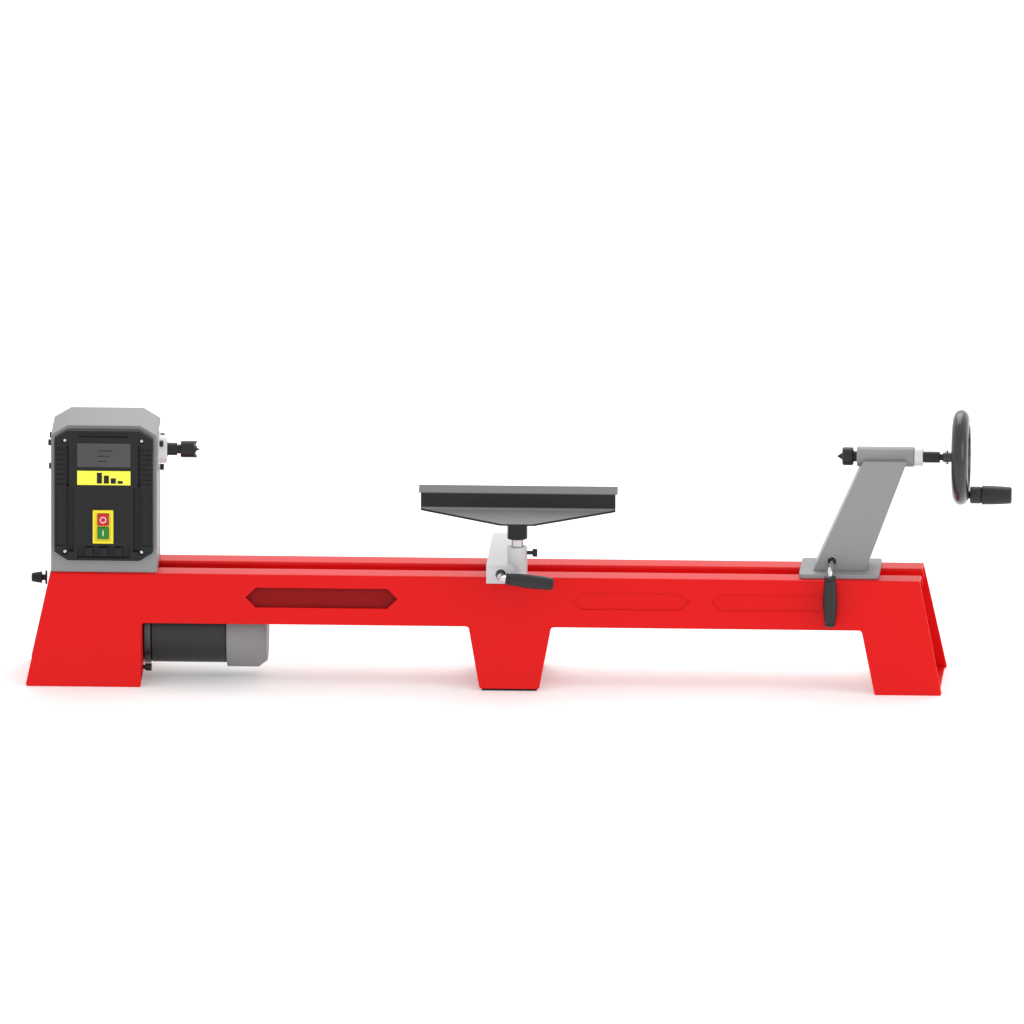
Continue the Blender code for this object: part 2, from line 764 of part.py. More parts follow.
def make_spindle():
    black = finish("Blackened steel", "2C2C2E", 0.45, 0.6)
    white = finish("Silver paint, flange", "E4E4E6", 0.35, 0.3)
    race = finish("Bearing steel", "9C9CA0", 0.25, 1.0)
    axis = (1, 0, 0)
    centre = (0, 0, SPINDLE_HEIGHT)
    bore = SPINDLE_RADIUS + RUNNING_GAP
    seat = BEARING_RADIUS + GAP
    inner_right = BOX_RIGHT - BOX_WALL - GAP
    inner_left = BOX_LEFT + BOX_WALL + GAP
    # the right flange stands outside its wall, and its boss holds the bearing
    right = [
        (BOX_RIGHT + GAP, bore + 0.001),
        (BOX_RIGHT + GAP, FLANGE_RADIUS),
        (BOX_RIGHT + GAP + FLANGE_THICKNESS, FLANGE_RADIUS),
        (BOX_RIGHT + GAP + FLANGE_THICKNESS, BOSS_RADIUS),
        (BOSS_END - 0.001, BOSS_RADIUS),
        (BOSS_END, BOSS_RADIUS - 0.001),
        (BOSS_END, bore + 0.001),
    ]
    flange_right = turned("right_bearing_flange", right, centre, axis, white, steps=20, hollow=True)
    left = [
        (inner_left, bore + 0.001),
        (inner_left, FLANGE_RADIUS),
        (inner_left + FLANGE_THICKNESS, FLANGE_RADIUS),
        (inner_left + FLANGE_THICKNESS, seat + 0.003),
        (inner_left + FLANGE_THICKNESS + BEARING_WIDTH, seat + 0.003),
        (inner_left + FLANGE_THICKNESS + BEARING_WIDTH, seat),
        (inner_left + FLANGE_THICKNESS, seat),
        (inner_left + FLANGE_THICKNESS, bore + 0.001),
    ]
    flange_left = turned("left_bearing_flange", left, centre, axis, white, steps=20, hollow=True)
    # the box's sloping corner leaves no room for the top of the left flange
    slope_start = BOX_TOP - BOX_WALL - BOX_CHAMFER[1] - GAP
    cut(
        flange_left,
        block("left_flange_flat", (BOX_LEFT, -0.05, slope_start), (BOX_LEFT + 0.03, 0.05, BOX_TOP)),
    )
    for side, flange, face, direction in (
        ("right", flange_right, BOX_RIGHT + FLANGE_THICKNESS + 2 * GAP, 1),
        ("left", flange_left, BOX_LEFT - GAP, -1),
    ):
        for i, (y, z) in enumerate(flange_bolt_places(), 1):
            start = (face - 0.04 * direction, y, z)
            end = (face + 0.04 * direction, y, z)
            cut(flange, rod(f"{side}_bolt_hole_{i}", start, end, BOLT_SHANK_RADIUS + RUNNING_GAP))
            profile = [(-0.009, 0), (-0.009, BOLT_SHANK_RADIUS), (0, BOLT_SHANK_RADIUS)]
            profile += [(0, BOLT_HEAD_RADIUS), (BOLT_HEAD_LENGTH, BOLT_HEAD_RADIUS)]
            profile += [(BOLT_HEAD_LENGTH, 0.0025), (BOLT_HEAD_LENGTH / 2, 0.0025), (BOLT_HEAD_LENGTH / 2, 0)]
            turned(
                f"{side}_flange_bolt_{i}", profile, (face, y, z), (direction, 0, 0), black, steps=8
            )
    bearing_left = inner_left + FLANGE_THICKNESS + GAP
    bearing_right = inner_right - BEARING_WIDTH
    for name, start in (("left_bearing", bearing_left), ("right_bearing", bearing_right)):
        profile = ring_profile(start, start + BEARING_WIDTH - 2 * GAP, bore, BEARING_RADIUS)
        turned(name, profile, centre, axis, race, steps=16, hollow=True)
    shaft_start = bearing_left + 0.001
    spindle = [
        (shaft_start, 0),
        (shaft_start, SPINDLE_RADIUS),
        (BOSS_END + 0.0008, SPINDLE_RADIUS),
        (BOSS_END + 0.0008, COLLAR_RADIUS),
        (COLLAR_END, COLLAR_RADIUS),
        (COLLAR_END, NECK_RADIUS),
        (NECK_END, NECK_RADIUS),
        (NECK_END, 0),
    ]
    turned("spindle", spindle, centre, axis, black, steps=20)
    make_drive_centre(black)
    make_pulley("spindle_pulley", SPINDLE_HEIGHT, SPINDLE_RADIUS + RUNNING_GAP, STEP_DIAMETERS)


def make_drive_centre(material):
    """The four-pronged crown with a point in its middle."""
    start = NECK_END + GAP
    crest = NECK_END + CROWN_LENGTH
    valley = crest - CROWN_DEPTH
    radius = CROWN_RADIUS
    profile = [
        (start, 0),
        (start, radius - 0.0006),
        (start + 0.0006, radius),
        (crest, radius),
        (crest, radius - 0.004),
        (valley, radius - 0.005),
        (valley, 0.003),
        (valley + CENTRE_POINT, 0),
    ]
    crown = turned("drive_centre", profile, (0, 0, SPINDLE_HEIGHT), (1, 0, 0), material, steps=24)
    # notches on the diagonals leave four pointed prongs: up, down, front and back
    for i in range(4):
        angle = math.radians(45 + 90 * i)
        outward = Vector((0, math.cos(angle), math.sin(angle)))
        across = Vector((0, -math.sin(angle), math.cos(angle)))
        bottom = Vector((valley + PRONG_FLOOR, 0, SPINDLE_HEIGHT))
        top = bottom + Vector((CROWN_DEPTH * 1.5, 0, 0))
        near = outward * CROWN_RADIUS * 0.35
        far = outward * CROWN_RADIUS * 1.5
        spread = across * CROWN_RADIUS * 0.75  # leaves each prong a narrow flat tip
        corners = [place + depth for depth in (near, far) for place in (bottom, top - spread, top + spread)]
        bm = bmesh.new()
        verts = [bm.verts.new(corner) for corner in corners]
        for face in ((0, 2, 1), (3, 4, 5), (0, 1, 4, 3), (1, 2, 5, 4), (2, 0, 3, 5)):
            bm.faces.new([verts[k] for k in face])
        bmesh.ops.recalc_face_normals(bm, faces=bm.faces)
        notch = mesh_from(bm, f"crown_notch_{i}")
        cut(crown, add(f"crown_notch_{i}", notch))


def make_pulley(name, height, bore, diameters):
    """A four-step pulley with a flat-bottomed groove in each step."""
    aluminium = finish(f"Cast aluminium, {name}", "B4B6B8", 0.4, 1.0)
    profile = [(0, bore)]
    for i, diameter in enumerate(diameters):
        start = i * STEP_WIDTH
        outer = diameter / 2
        groove = outer - BELT_DEPTH
        wall = (STEP_WIDTH - BELT_WIDTH - 0.002) / 2
        profile += [
            (start, outer),
            (start + wall, outer),
            (start + wall + 0.001, groove),
            (start + STEP_WIDTH - wall - 0.001, groove),
            (start + STEP_WIDTH - wall, outer),
            (start + STEP_WIDTH, outer),
        ]
    profile.append((4 * STEP_WIDTH, bore))
    return turned(
        name, profile, (PULLEY_LEFT, 0, height), (1, 0, 0), aluminium, steps=16, hollow=True
    )


def belt_line(extra):
    """The belt's path around both pulleys as (Y, Z), at a distance outside the grooves."""
    top_radius = STEP_DIAMETERS[BELT_STEP] / 2 - BELT_DEPTH + extra
    low_radius = STEP_DIAMETERS[::-1][BELT_STEP] / 2 - BELT_DEPTH + extra
    span = SPINDLE_HEIGHT - MOTOR_HEIGHT
    lean = math.asin((low_radius - top_radius) / span)
    points = []
    steps = 10
    for i in range(steps + 1):
        angle = lean + (math.pi - 2 * lean) * i / steps
        points.append((top_radius * math.cos(angle), SPINDLE_HEIGHT + top_radius * math.sin(angle)))
    for i in range(steps + 1):
        angle = math.pi - lean + (math.pi + 2 * lean) * i / steps
        points.append((low_radius * math.cos(angle), MOTOR_HEIGHT + low_radius * math.sin(angle)))
    return points


def make_belt():
    rubber = finish("Belt rubber", "18181A", 0.7)
    middle = PULLEY_LEFT + (BELT_STEP + 0.5) * STEP_WIDTH
    half = BELT_WIDTH / 2 - RUNNING_GAP
    clearance = 0.001
    belt = prism("drive_belt", belt_line(clearance + BELT_DEPTH), "X", middle - half, middle + half, rubber)
    cut(belt, prism("belt_inside", belt_line(clearance), "X", middle - 0.02, middle + 0.02))


# ---- motor ----
def make_motor():
    black = finish("Black painted steel", "202022", 0.4)
    body = finish("Dark grey paint", "373739", 0.45)
    cover = finish("Grey moulded cover", "848486", 0.5)
    steel = finish("Motor shaft steel", "B0B0B4", 0.3, 1.0)
    red = finish("Red paint, motor plate", "E01A1A", 0.4)
    centre = (0, 0, MOTOR_HEIGHT)
    axis = (1, 0, 0)
    bore = MOTOR_SHAFT_RADIUS + RUNNING_GAP
    flange = [
        (MOTOR_FLANGE_LEFT, bore),
        (MOTOR_FLANGE_LEFT, MOTOR_RADIUS - 0.004),
        (MOTOR_FLANGE_LEFT + 0.002, MOTOR_RADIUS + 0.002),
        (MOTOR_FLANGE_RIGHT - GAP, MOTOR_RADIUS + 0.002),
        (MOTOR_FLANGE_RIGHT - GAP, bore),
    ]
    turned("motor_flange", flange, centre, axis, black, steps=24, hollow=True)
    wall = 0.006
    shell = [
        (MOTOR_FLANGE_RIGHT, bore),
        (MOTOR_FLANGE_RIGHT, MOTOR_RADIUS),
        (MOTOR_BODY_RIGHT, MOTOR_RADIUS),
        (MOTOR_BODY_RIGHT, MOTOR_RADIUS - wall),
        (MOTOR_FLANGE_RIGHT + wall, MOTOR_RADIUS - wall),
        (MOTOR_FLANGE_RIGHT + wall, bore),
    ]
    turned("motor_body", shell, centre, axis, body, steps=24, hollow=True)
    chamfer = (0.013, 0.010)
    right = MOTOR_BODY_RIGHT + FAN_COVER_LENGTH
    fan_wall = 0.003
    fan_cover = [
        (MOTOR_BODY_RIGHT + GAP, FAN_COVER_RADIUS - fan_wall),
        (MOTOR_BODY_RIGHT + GAP, FAN_COVER_RADIUS),
        (right - chamfer[0], FAN_COVER_RADIUS),
        (right, FAN_COVER_RADIUS - chamfer[1]),
        (right, 0.004),
        (right - fan_wall, 0.004),
        (right - fan_wall, FAN_COVER_RADIUS - chamfer[1] - fan_wall),
        (right - chamfer[0] - fan_wall, FAN_COVER_RADIUS - fan_wall),
    ]
    turned("motor_fan_cover", fan_cover, centre, axis, cover, steps=24, hollow=True)
    # the shaft carries the rotor inside the body and the pulley at its left end
    shaft = [
        (PULLEY_LEFT - 0.004, 0),
        (PULLEY_LEFT - 0.004, MOTOR_SHAFT_RADIUS),
        (MOTOR_FLANGE_RIGHT + 0.015, MOTOR_SHAFT_RADIUS),
        (MOTOR_FLANGE_RIGHT + 0.015, MOTOR_RADIUS - 0.012),
        (MOTOR_BODY_RIGHT - 0.012, MOTOR_RADIUS - 0.012),
        (MOTOR_BODY_RIGHT - 0.012, MOTOR_SHAFT_RADIUS),
        (MOTOR_BODY_RIGHT + 0.030, MOTOR_SHAFT_RADIUS),
        (MOTOR_BODY_RIGHT + 0.030, 0),
    ]
    turned("motor_shaft", shaft, centre, axis, steel, steps=16)
    make_pulley("motor_pulley", MOTOR_HEIGHT, bore, STEP_DIAMETERS[::-1])
    plate_right = MOTOR_FLANGE_LEFT - GAP
    plate_half = 0.056
    outline = [
        (-plate_half, MOTOR_HEIGHT - 0.058),
        (plate_half, MOTOR_HEIGHT - 0.058),
        (plate_half, MOTOR_HEIGHT + 0.050),
        (-plate_half, MOTOR_HEIGHT + 0.050),
    ]
    plate = prism("motor_mount_plate", outline, "X", plate_right - 0.004, plate_right, red)
    hole = rod("motor_plate_hole", (plate_right - 0.02, 0, MOTOR_HEIGHT), (plate_right + 0.02, 0, MOTOR_HEIGHT), bore)
    bolt_z = 0.0211
    bolt_y = -0.048
    bolt_hole = rod(
        "motor_bolt_hole", (plate_right - 0.02, bolt_y, bolt_z), (plate_right + 0.02, bolt_y, bolt_z), 0.0042
    )
    cut(plate, hole, bolt_hole)
    head = MOTOR_FLANGE_LEFT + 0.0035
    profile = [(-0.018, 0), (-0.018, 0.0035), (0, 0.0035), (0, 0.0058), (0.0095, 0.0058), (0.0095, 0)]
    turned("motor_clamp_bolt", profile, (head, bolt_y, bolt_z), axis, black, steps=12)


# ---- tool rest carrier ----
def bent_rod(name, points, radius, material):
    """A round wire bent through the points, as a mesh."""
    curve = bpy.data.curves.new(name, "CURVE")
    curve.dimensions = "3D"
    curve.bevel_depth = radius
    curve.bevel_resolution = 2
    curve.use_fill_caps = True
    spline = curve.splines.new("POLY")
    spline.points.add(len(points) - 1)
    for point, place in zip(spline.points, points):
        point.co = (*place, 1)
    guide = bpy.data.objects.new(f"{name}_curve", curve)
    PARTS.objects.link(guide)
    graph = bpy.context.evaluated_depsgraph_get()
    mesh = bpy.data.meshes.new_from_object(guide.evaluated_get(graph))
    bpy.data.objects.remove(guide)
    bm = bmesh.new()
    bm.from_mesh(mesh)
    bmesh.ops.remove_doubles(bm, verts=bm.verts, dist=0.00001)
    bmesh.ops.recalc_face_normals(bm, faces=bm.faces)
    bm.to_mesh(mesh)
    bm.free()
    mesh.name = name
    mesh.materials.clear()
    mesh.shade_smooth()
    mesh.set_sharp_from_angle(angle=math.radians(50))
    return add(name, mesh, material)


def bend(start, corner, end, radius, steps=6):
    """A straight run, an arc and a straight run."""
    start, corner, end = Vector(start), Vector(corner), Vector(end)
    before = (start - corner).normalized()
    after = (end - corner).normalized()
    half = before.angle(after) / 2
    centre = corner + (before + after).normalized() * radius / math.sin(half)
    first = corner + before * radius / math.tan(half) - centre
    last = corner + after * radius / math.tan(half) - centre
    return [start, *arc(centre, first, last, radius, steps), end]


def grip(name, start, direction, radii, length, bore, material):
    """A moulded grip that swells in the middle, on a rod that ends inside it."""
    first, widest, last = radii
    solid = [(0, 0), (0, first - 0.001), (0.001, first), (length * 0.6, widest)]
    solid += [(length - 0.002, last), (length, last - 0.002), (length, 0)]
    obj = turned(name, solid, start, direction, material, steps=16)
    start = Vector(start)
    direction = Vector(direction).normalized()
    hole = rod(f"{name}_bore", start - direction * 0.01, start + direction * length * 0.55, bore)
    cut(obj, hole)
    return obj


def make_banjo():
    silver = finish("Silver grey paint", "BEBEBE", 0.45)
    chrome = finish("Chromed steel", "D2D2D6", 0.12, 1.0)
    black = finish("Black nylon grip", "3E3E40", 0.5)
    dark = finish("Blackened steel, screws", "2A2A2C", 0.4, 0.5)
    plate = finish("Zinc-plated plate", "A0A0A4", 0.35, 1.0)
    left, right = BANJO_LEFT, BANJO_LEFT + BANJO_WIDTH
    front, back = BANJO_FRONT, BANJO_FRONT + BANJO_LENGTH
    top = BED_TOP + BANJO_HEIGHT
    section = [(left, BED_TOP), (right, BED_TOP), (right, top - 0.008)]
    section += [(right - 0.006, top), (left, top)]
    bar = prism("banjo_bar", rounded(section, [0, 0, 0.001, 0.001, 0.001]), "Y", front, back, silver)
    plan = rounded([(left, front), (right, front), (right, back), (left, back)], [0.001, 0.001, 0.008, 0.008])
    boolean(bar, prism("banjo_plan", plan, "Z", 0.1, 0.3), "INTERSECT")
    rod_at = (CLAMP_ROD_X, CLAMP_ROD_HEIGHT)
    cavity = block(
        "banjo_cavity",
        (left + BANJO_WALL, SLEEVE_Y + SLEEVE_RADIUS + 0.006, BED_TOP - 0.01),
        (right - BANJO_WALL, back - 0.010, top - BANJO_WALL),
    )
    sleeve = rod("banjo_sleeve", (SLEEVE_X, SLEEVE_Y, BED_TOP), (SLEEVE_X, SLEEVE_Y, SLEEVE_TOP), SLEEVE_RADIUS)
    stem_bore = rod(
        "stem_bore", (SLEEVE_X, SLEEVE_Y, 0.1), (SLEEVE_X, SLEEVE_Y, 0.3), STEM_RADIUS + RUNNING_GAP
    )
    join(bar, sleeve)
    cut(bar, cavity, stem_bore)
    mouth = rod("lever_mouth", (rod_at[0], front - 0.01, rod_at[1]), (rod_at[0], front + 0.012, rod_at[1]), 0.008)
    passage = rod(
        "lever_passage",
        (rod_at[0], front - 0.01, rod_at[1]),
        (rod_at[0], back - 0.012, rod_at[1]),
        CLAMP_ROD_RADIUS + RUNNING_GAP,
    )
    cut(bar, mouth, passage)
    screw_z = SLEEVE_TOP - 0.0095
    screw_x = SLEEVE_X + SLEEVE_RADIUS
    cut(
        bar,
        rod("lock_screw_hole", (SLEEVE_X, SLEEVE_Y, screw_z), (screw_x + 0.01, SLEEVE_Y, screw_z), 0.0036),
    )
    # the screw's shank reaches from the stem through the sleeve's wall to its head
    shank = SLEEVE_RADIUS - STEM_RADIUS - RUNNING_GAP + 0.0077
    profile = [(0, 0), (0, 0.003), (shank, 0.003), (shank, 0.0056), (shank + 0.0007, 0.00615)]
    profile += [(shank + 0.0063, 0.00615), (shank + 0.0070, 0.0056), (shank + 0.0070, 0)]
    start = (SLEEVE_X + STEM_RADIUS + RUNNING_GAP, SLEEVE_Y, screw_z)
    turned("rest_lock_screw", profile, start, (1, 0, 0), dark, steps=12)

    # the clamp: a block on the lever's rod pulls a plate up against the rails' lips
    under = BED_HEIGHT - LIP_DEPTH - GAP
    block_top = CLAMP_ROD_HEIGHT + 0.0085
    clamp = block(
        "banjo_clamp_bolt",
        (rod_at[0] - 0.011, -0.009, BED_TOP + 0.003),
        (rod_at[0] + 0.011, 0.009, block_top),
        plate,
        bevel=0.001,
        segments=1,
    )
    join(clamp, rod("clamp_shank", (rod_at[0], 0, under - 0.016), (rod_at[0], 0, BED_TOP + 0.006), 0.005))
    join(clamp, rod("clamp_head", (rod_at[0], 0, under - 0.016), (rod_at[0], 0, under - 0.0085), 0.009, segments=6))
    cut(
        clamp,
        rod(
            "clamp_eye",
            (rod_at[0], -0.03, rod_at[1]),
            (rod_at[0], 0.03, rod_at[1]),
            CLAMP_ROD_RADIUS + RUNNING_GAP,
        ),
    )
    clamp_plate = block(
        "banjo_clamp_plate",
        (rod_at[0] - 0.030, -0.040, under - 0.008),
        (rod_at[0] + 0.030, 0.040, under),
        plate,
        bevel=0.001,
        segments=1,
    )
    cut(clamp_plate, rod("clamp_plate_hole", (rod_at[0], 0, 0.1), (rod_at[0], 0, 0.2), 0.0056))

    grip_y = -0.128
    slope = Vector((math.cos(math.radians(6)), 0, -math.sin(math.radians(6))))
    grip_start = Vector((-0.0035, grip_y, CLAMP_ROD_HEIGHT - 0.0008))
    route = bend(
        (rod_at[0], back - 0.013, rod_at[1]),
        (rod_at[0], grip_y, rod_at[1]),
        grip_start + slope * 0.035,
        0.008,
    )
    bent_rod("banjo_lever_rod", route, CLAMP_ROD_RADIUS, chrome)
    grip(
        "banjo_lever_grip", grip_start, slope, (0.00875, 0.0105, 0.0095), 0.0715,
        CLAMP_ROD_RADIUS + GAP, black,
    )
    lever_axis = pivot("banjo_lever_axis", (rod_at[0], 0, rod_at[1]))
    carry(lever_axis, PARTS.objects["banjo_lever_rod"], PARTS.objects["banjo_lever_grip"])
    carry(pivot("banjo_swivel_axis", (rod_at[0], 0, BED_TOP)), bar, clamp)


def make_tool_rest():
    steel = finish("Bright steel stem", "C4C4C8", 0.25, 1.0)
    black = finish("Black powder coat", "3A3A3C", 0.45)
    stem_bottom = BED_TOP + 0.0145
    stem_top = SOCKET_BOTTOM + 0.012
    rod("tool_rest_stem", (SLEEVE_X, SLEEVE_Y, stem_bottom), (SLEEVE_X, SLEEVE_Y, stem_top), STEM_RADIUS, steel)
    line = rounded(
        [REST_EDGE, REST_FOLD, (REST_FOLD[0], REST_BAND_TOP), REST_LIP], REST_BEND, closed=False
    )
    half = REST_LENGTH / 2
    bm = bmesh.new()
    rows = [[bm.verts.new((SLEEVE_X + x, *p)) for p in line] for x in (-half, half)]
    for i in range(len(line) - 1):
        bm.faces.new((rows[0][i], rows[1][i], rows[1][i + 1], rows[0][i + 1]))
    blade = add("tool_rest", mesh_from(bm, "tool_rest"), black)
    wall = blade.modifiers.new("Wall", "SOLIDIFY")
    wall.thickness = REST_SHEET
    wall.offset = -1
    wall.use_even_offset = True
    low, fold = REST_EDGE[1], REST_FOLD[1]
    flat = REST_FLAT / 2
    # seen from the front, the lip is a little longer than the band and the flange below it
    band, beyond = half - REST_LIP_OVERHANG, half + 0.01
    front_view = [
        (-band, low - 0.02),
        (band, low - 0.02),
        (band, REST_BAND_TOP),
        (beyond, REST_BAND_TOP),
        (beyond, REST_LIP[1] + 0.02),
        (-beyond, REST_LIP[1] + 0.02),
        (-beyond, REST_BAND_TOP),
        (-band, REST_BAND_TOP),
    ]
    front_view = [(SLEEVE_X + x, z) for x, z in front_view]
    boolean(blade, prism("rest_front_view", front_view, "Y", -0.2, 0.1), "INTERSECT")
    # seen from above, the flange narrows from the fold to its front edge
    slant = (half - flat) / (REST_FOLD[0] - REST_EDGE[0])
    ahead, behind = 0.001, 0.006
    plan = [
        (-flat + slant * ahead, REST_EDGE[0] - ahead),
        (flat - slant * ahead, REST_EDGE[0] - ahead),
        (half + slant * behind, REST_FOLD[0] + behind),
        (half + slant * behind, 0.03),
        (-half - slant * behind, 0.03),
        (-half - slant * behind, REST_FOLD[0] + behind),
    ]
    plan = [(SLEEVE_X + x, y) for x, y in plan]
    boolean(blade, prism("rest_plan", plan, "Z", low - 0.02, REST_LIP[1] + 0.02), "INTERSECT")
    socket = rod("rest_socket", (SLEEVE_X, SLEEVE_Y, SOCKET_BOTTOM), (SLEEVE_X, SLEEVE_Y, fold + 0.01), SOCKET_RADIUS)
    middle = -REST_SHEET / 2  # the socket ends inside the sheet, which lies under its line
    above = [
        (REST_EDGE[0] - 0.02, low - 0.02 * (fold - low) / (REST_FOLD[0] - REST_EDGE[0]) + middle),
        (REST_FOLD[0] + 0.02, fold + 0.02 * (fold - low) / (REST_FOLD[0] - REST_EDGE[0]) + middle),
        (REST_FOLD[0] + 0.02, fold + 0.05),
        (REST_EDGE[0] - 0.02, fold + 0.05),
    ]
    cut(socket, prism("socket_top", above, "X", SLEEVE_X - 0.05, SLEEVE_X + 0.05))
    join(blade, socket)
    bore_top = stem_top + GAP
    cut(
        blade,
        rod(
            "socket_bore",
            (SLEEVE_X, SLEEVE_Y, SOCKET_BOTTOM - 0.01),
            (SLEEVE_X, SLEEVE_Y, bore_top),
            STEM_RADIUS + GAP,
        ),
    )
    carry(pivot("rest_swivel_axis", (SLEEVE_X, SLEEVE_Y, SOCKET_BOTTOM)), blade)


# ---- tailstock ----
def make_tailstock_casting():
    grey = finish("Grey paint, tailstock", "A2A2A2", 0.5)
    left, right = TAIL_LEFT, TAIL_LEFT + TAIL_LENGTH
    half = TAIL_DEPTH / 2
    plan = rounded([(left, -half), (right, -half), (right, half), (left, half)], 0.006)
    base = prism("tailstock_base", plan, "Z", BED_TOP, TAIL_TOP, grey)
    foot = (left + 0.0201, left + 0.0971)
    head = (left + 0.0939, left + 0.1585)
    bottom = TAIL_TOP + GAP
    top = SPINDLE_HEIGHT - 0.003
    face = [(foot[0], bottom), (foot[1], bottom), (head[1], top), (head[0], top)]
    depth = UPRIGHT_DEPTH / 2
    upright = prism("tailstock_upright", rounded(face, [0, 0, 0.001, 0.001]), "Y", -depth, depth, grey)
    wall = 0.005
    hollow_top = top - 0.030
    lean = (head[0] - foot[0]) / (top - bottom)
    rise = hollow_top - bottom
    hollow = [
        (foot[0] + wall, bottom - 0.01),
        (foot[1] - wall, bottom - 0.01),
        (foot[1] - wall + lean * rise, hollow_top),
        (foot[0] + wall + lean * rise, hollow_top),
    ]
    cut(upright, prism("upright_hollow", hollow, "Y", -depth + wall, depth - wall))
    seat = (BARREL_LEFT - 0.02, 0, SPINDLE_HEIGHT)
    cut(upright, rod("barrel_seat", seat, (BARREL_RIGHT + 0.02, 0, SPINDLE_HEIGHT), BARREL_RADIUS + GAP))
    lever = (TAIL_LEVER_X, TAIL_LEVER_HEIGHT)
    cut(
        upright,
        rod("tail_lever_hole", (lever[0], -depth - 0.01, lever[1]), (lever[0], 0, lever[1]), 0.006),
        rod(
            "tail_lever_passage",
            (lever[0], 0, lever[1]),
            (lever[0], depth + 0.01, lever[1]),
            CLAMP_ROD_RADIUS + RUNNING_GAP,
        ),
    )
    cut(base, rod("tail_bolt_hole", (lever[0], 0, 0.1), (lever[0], 0, 0.3), 0.0065))
    barrel = ring_profile(BARREL_LEFT, BARREL_RIGHT, QUILL_RADIUS + RUNNING_GAP, BARREL_RADIUS)
    turned("tailstock_barrel", barrel, (0, 0, SPINDLE_HEIGHT), (1, 0, 0), grey, steps=32, hollow=True)


def make_tailstock_clamp():
    chrome = finish("Chromed steel, tail lever", "D2D2D6", 0.12, 1.0)
    black = finish("Black nylon grip, tail lever", "3E3E40", 0.5)
    plate = finish("Zinc-plated tail clamp", "A0A0A4", 0.35, 1.0)
    x, z = TAIL_LEVER_X, TAIL_LEVER_HEIGHT
    depth = UPRIGHT_DEPTH / 2
    under = BED_HEIGHT - LIP_DEPTH - GAP
    clamp = block(
        "tailstock_clamp", (x - 0.030, -0.040, under - 0.008), (x + 0.030, 0.040, under), plate,
        bevel=0.001, segments=1,
    )
    join(
        clamp,
        rod("tail_clamp_shank", (x, 0, under - 0.012), (x, 0, z), 0.005),
        block("tail_clamp_eye", (x - 0.0065, -0.008, z - 0.007), (x + 0.0065, 0.008, z + 0.007)),
    )
    cut(clamp, rod("tail_eye", (x, -0.03, z), (x, 0.03, z), CLAMP_ROD_RADIUS - 0.0015 + RUNNING_GAP))
    grip_y = -0.088
    grip_start = Vector((x, grip_y, z - 0.0087))
    down = Vector((0, 0, -1))
    route = bend((x, depth - 0.0005, z), (x, grip_y, z), grip_start + down * 0.035, 0.0082)
    bent_rod("tailstock_lever_rod", route, CLAMP_ROD_RADIUS - 0.0015, chrome)
    grip(
        "tailstock_lever_grip", grip_start, down, (0.0088, 0.011, 0.0085), 0.077,
        CLAMP_ROD_RADIUS - 0.0015 + GAP, black,
    )
    lever_axis = pivot("tail_lever_axis", (x, 0, z))
    carry(lever_axis, PARTS.objects["tailstock_lever_rod"], PARTS.objects["tailstock_lever_grip"])


def make_quill():
    black = finish("Blackened steel, centre", "2E2E30", 0.4, 0.5)
    steel = finish("Quill steel", "B4B4B8", 0.3, 1.0)
    white = finish("Silver ring", "E6E6E8", 0.3, 0.4)
    centre = (0, 0, SPINDLE_HEIGHT)
    axis = (1, 0, 0)
    nose = BARREL_LEFT + 0.0005
    quill_end = BARREL_RIGHT - 0.006
    taper = 0.0065  # radius of the hole that takes the live centre
    taper_depth = 0.030
    head = 0.0135  # radius of the live centre's turning head
    screw_hole = SCREW_RADIUS + RUNNING_GAP
    quill = [
        (nose, taper + GAP),
        (nose, QUILL_RADIUS),
        (quill_end, QUILL_RADIUS),
        (quill_end, screw_hole),
        (nose + taper_depth, screw_hole),
        (nose + taper_depth, taper + GAP),
    ]
    turned("quill", quill, centre, axis, steel, steps=16, hollow=True)
    live = [
        (BARREL_LEFT - 0.0296, 0),
        (BARREL_LEFT - 0.0219, 0.0055),
        (BARREL_LEFT - 0.0217, head - 0.002),
        (BARREL_LEFT - 0.0202, head),
        (BARREL_LEFT - 0.0067, head),
        (BARREL_LEFT - 0.0052, head - 0.002),
        (BARREL_LEFT - 0.0049, 0.00785),
        (BARREL_LEFT, 0.00785),
        (BARREL_LEFT, taper),
        (nose + taper_depth - 0.002, taper - 0.0005),
        (nose + taper_depth - 0.002, 0),
    ]
    turned("live_centre", live, centre, axis, black, steps=24)
    ring_end = BARREL_RIGHT + LOCK_RING_LENGTH
    ring = ring_profile(BARREL_RIGHT + GAP, ring_end, screw_hole, LOCK_RING_RADIUS)
    turned("quill_lock_ring", ring, centre, axis, white, steps=20, hollow=True)
    collar_end = WHEEL_X - 0.0314
    screw = [
        (nose + taper_depth + 0.002, 0),
        (nose + taper_depth + 0.002, SCREW_RADIUS),
        (ring_end + 0.0004, SCREW_RADIUS),
        (ring_end + 0.0004, SCREW_COLLAR_RADIUS - 0.0006),
        (ring_end + 0.0014, SCREW_COLLAR_RADIUS),
        (collar_end - 0.001, SCREW_COLLAR_RADIUS),
        (collar_end, SCREW_COLLAR_RADIUS - 0.0006),
        (collar_end, SCREW_RADIUS),
        (WHEEL_X + 0.008, SCREW_RADIUS),
        (WHEEL_X + 0.008, 0),
    ]
    turned("quill_screw", screw, centre, axis, black, steps=12)


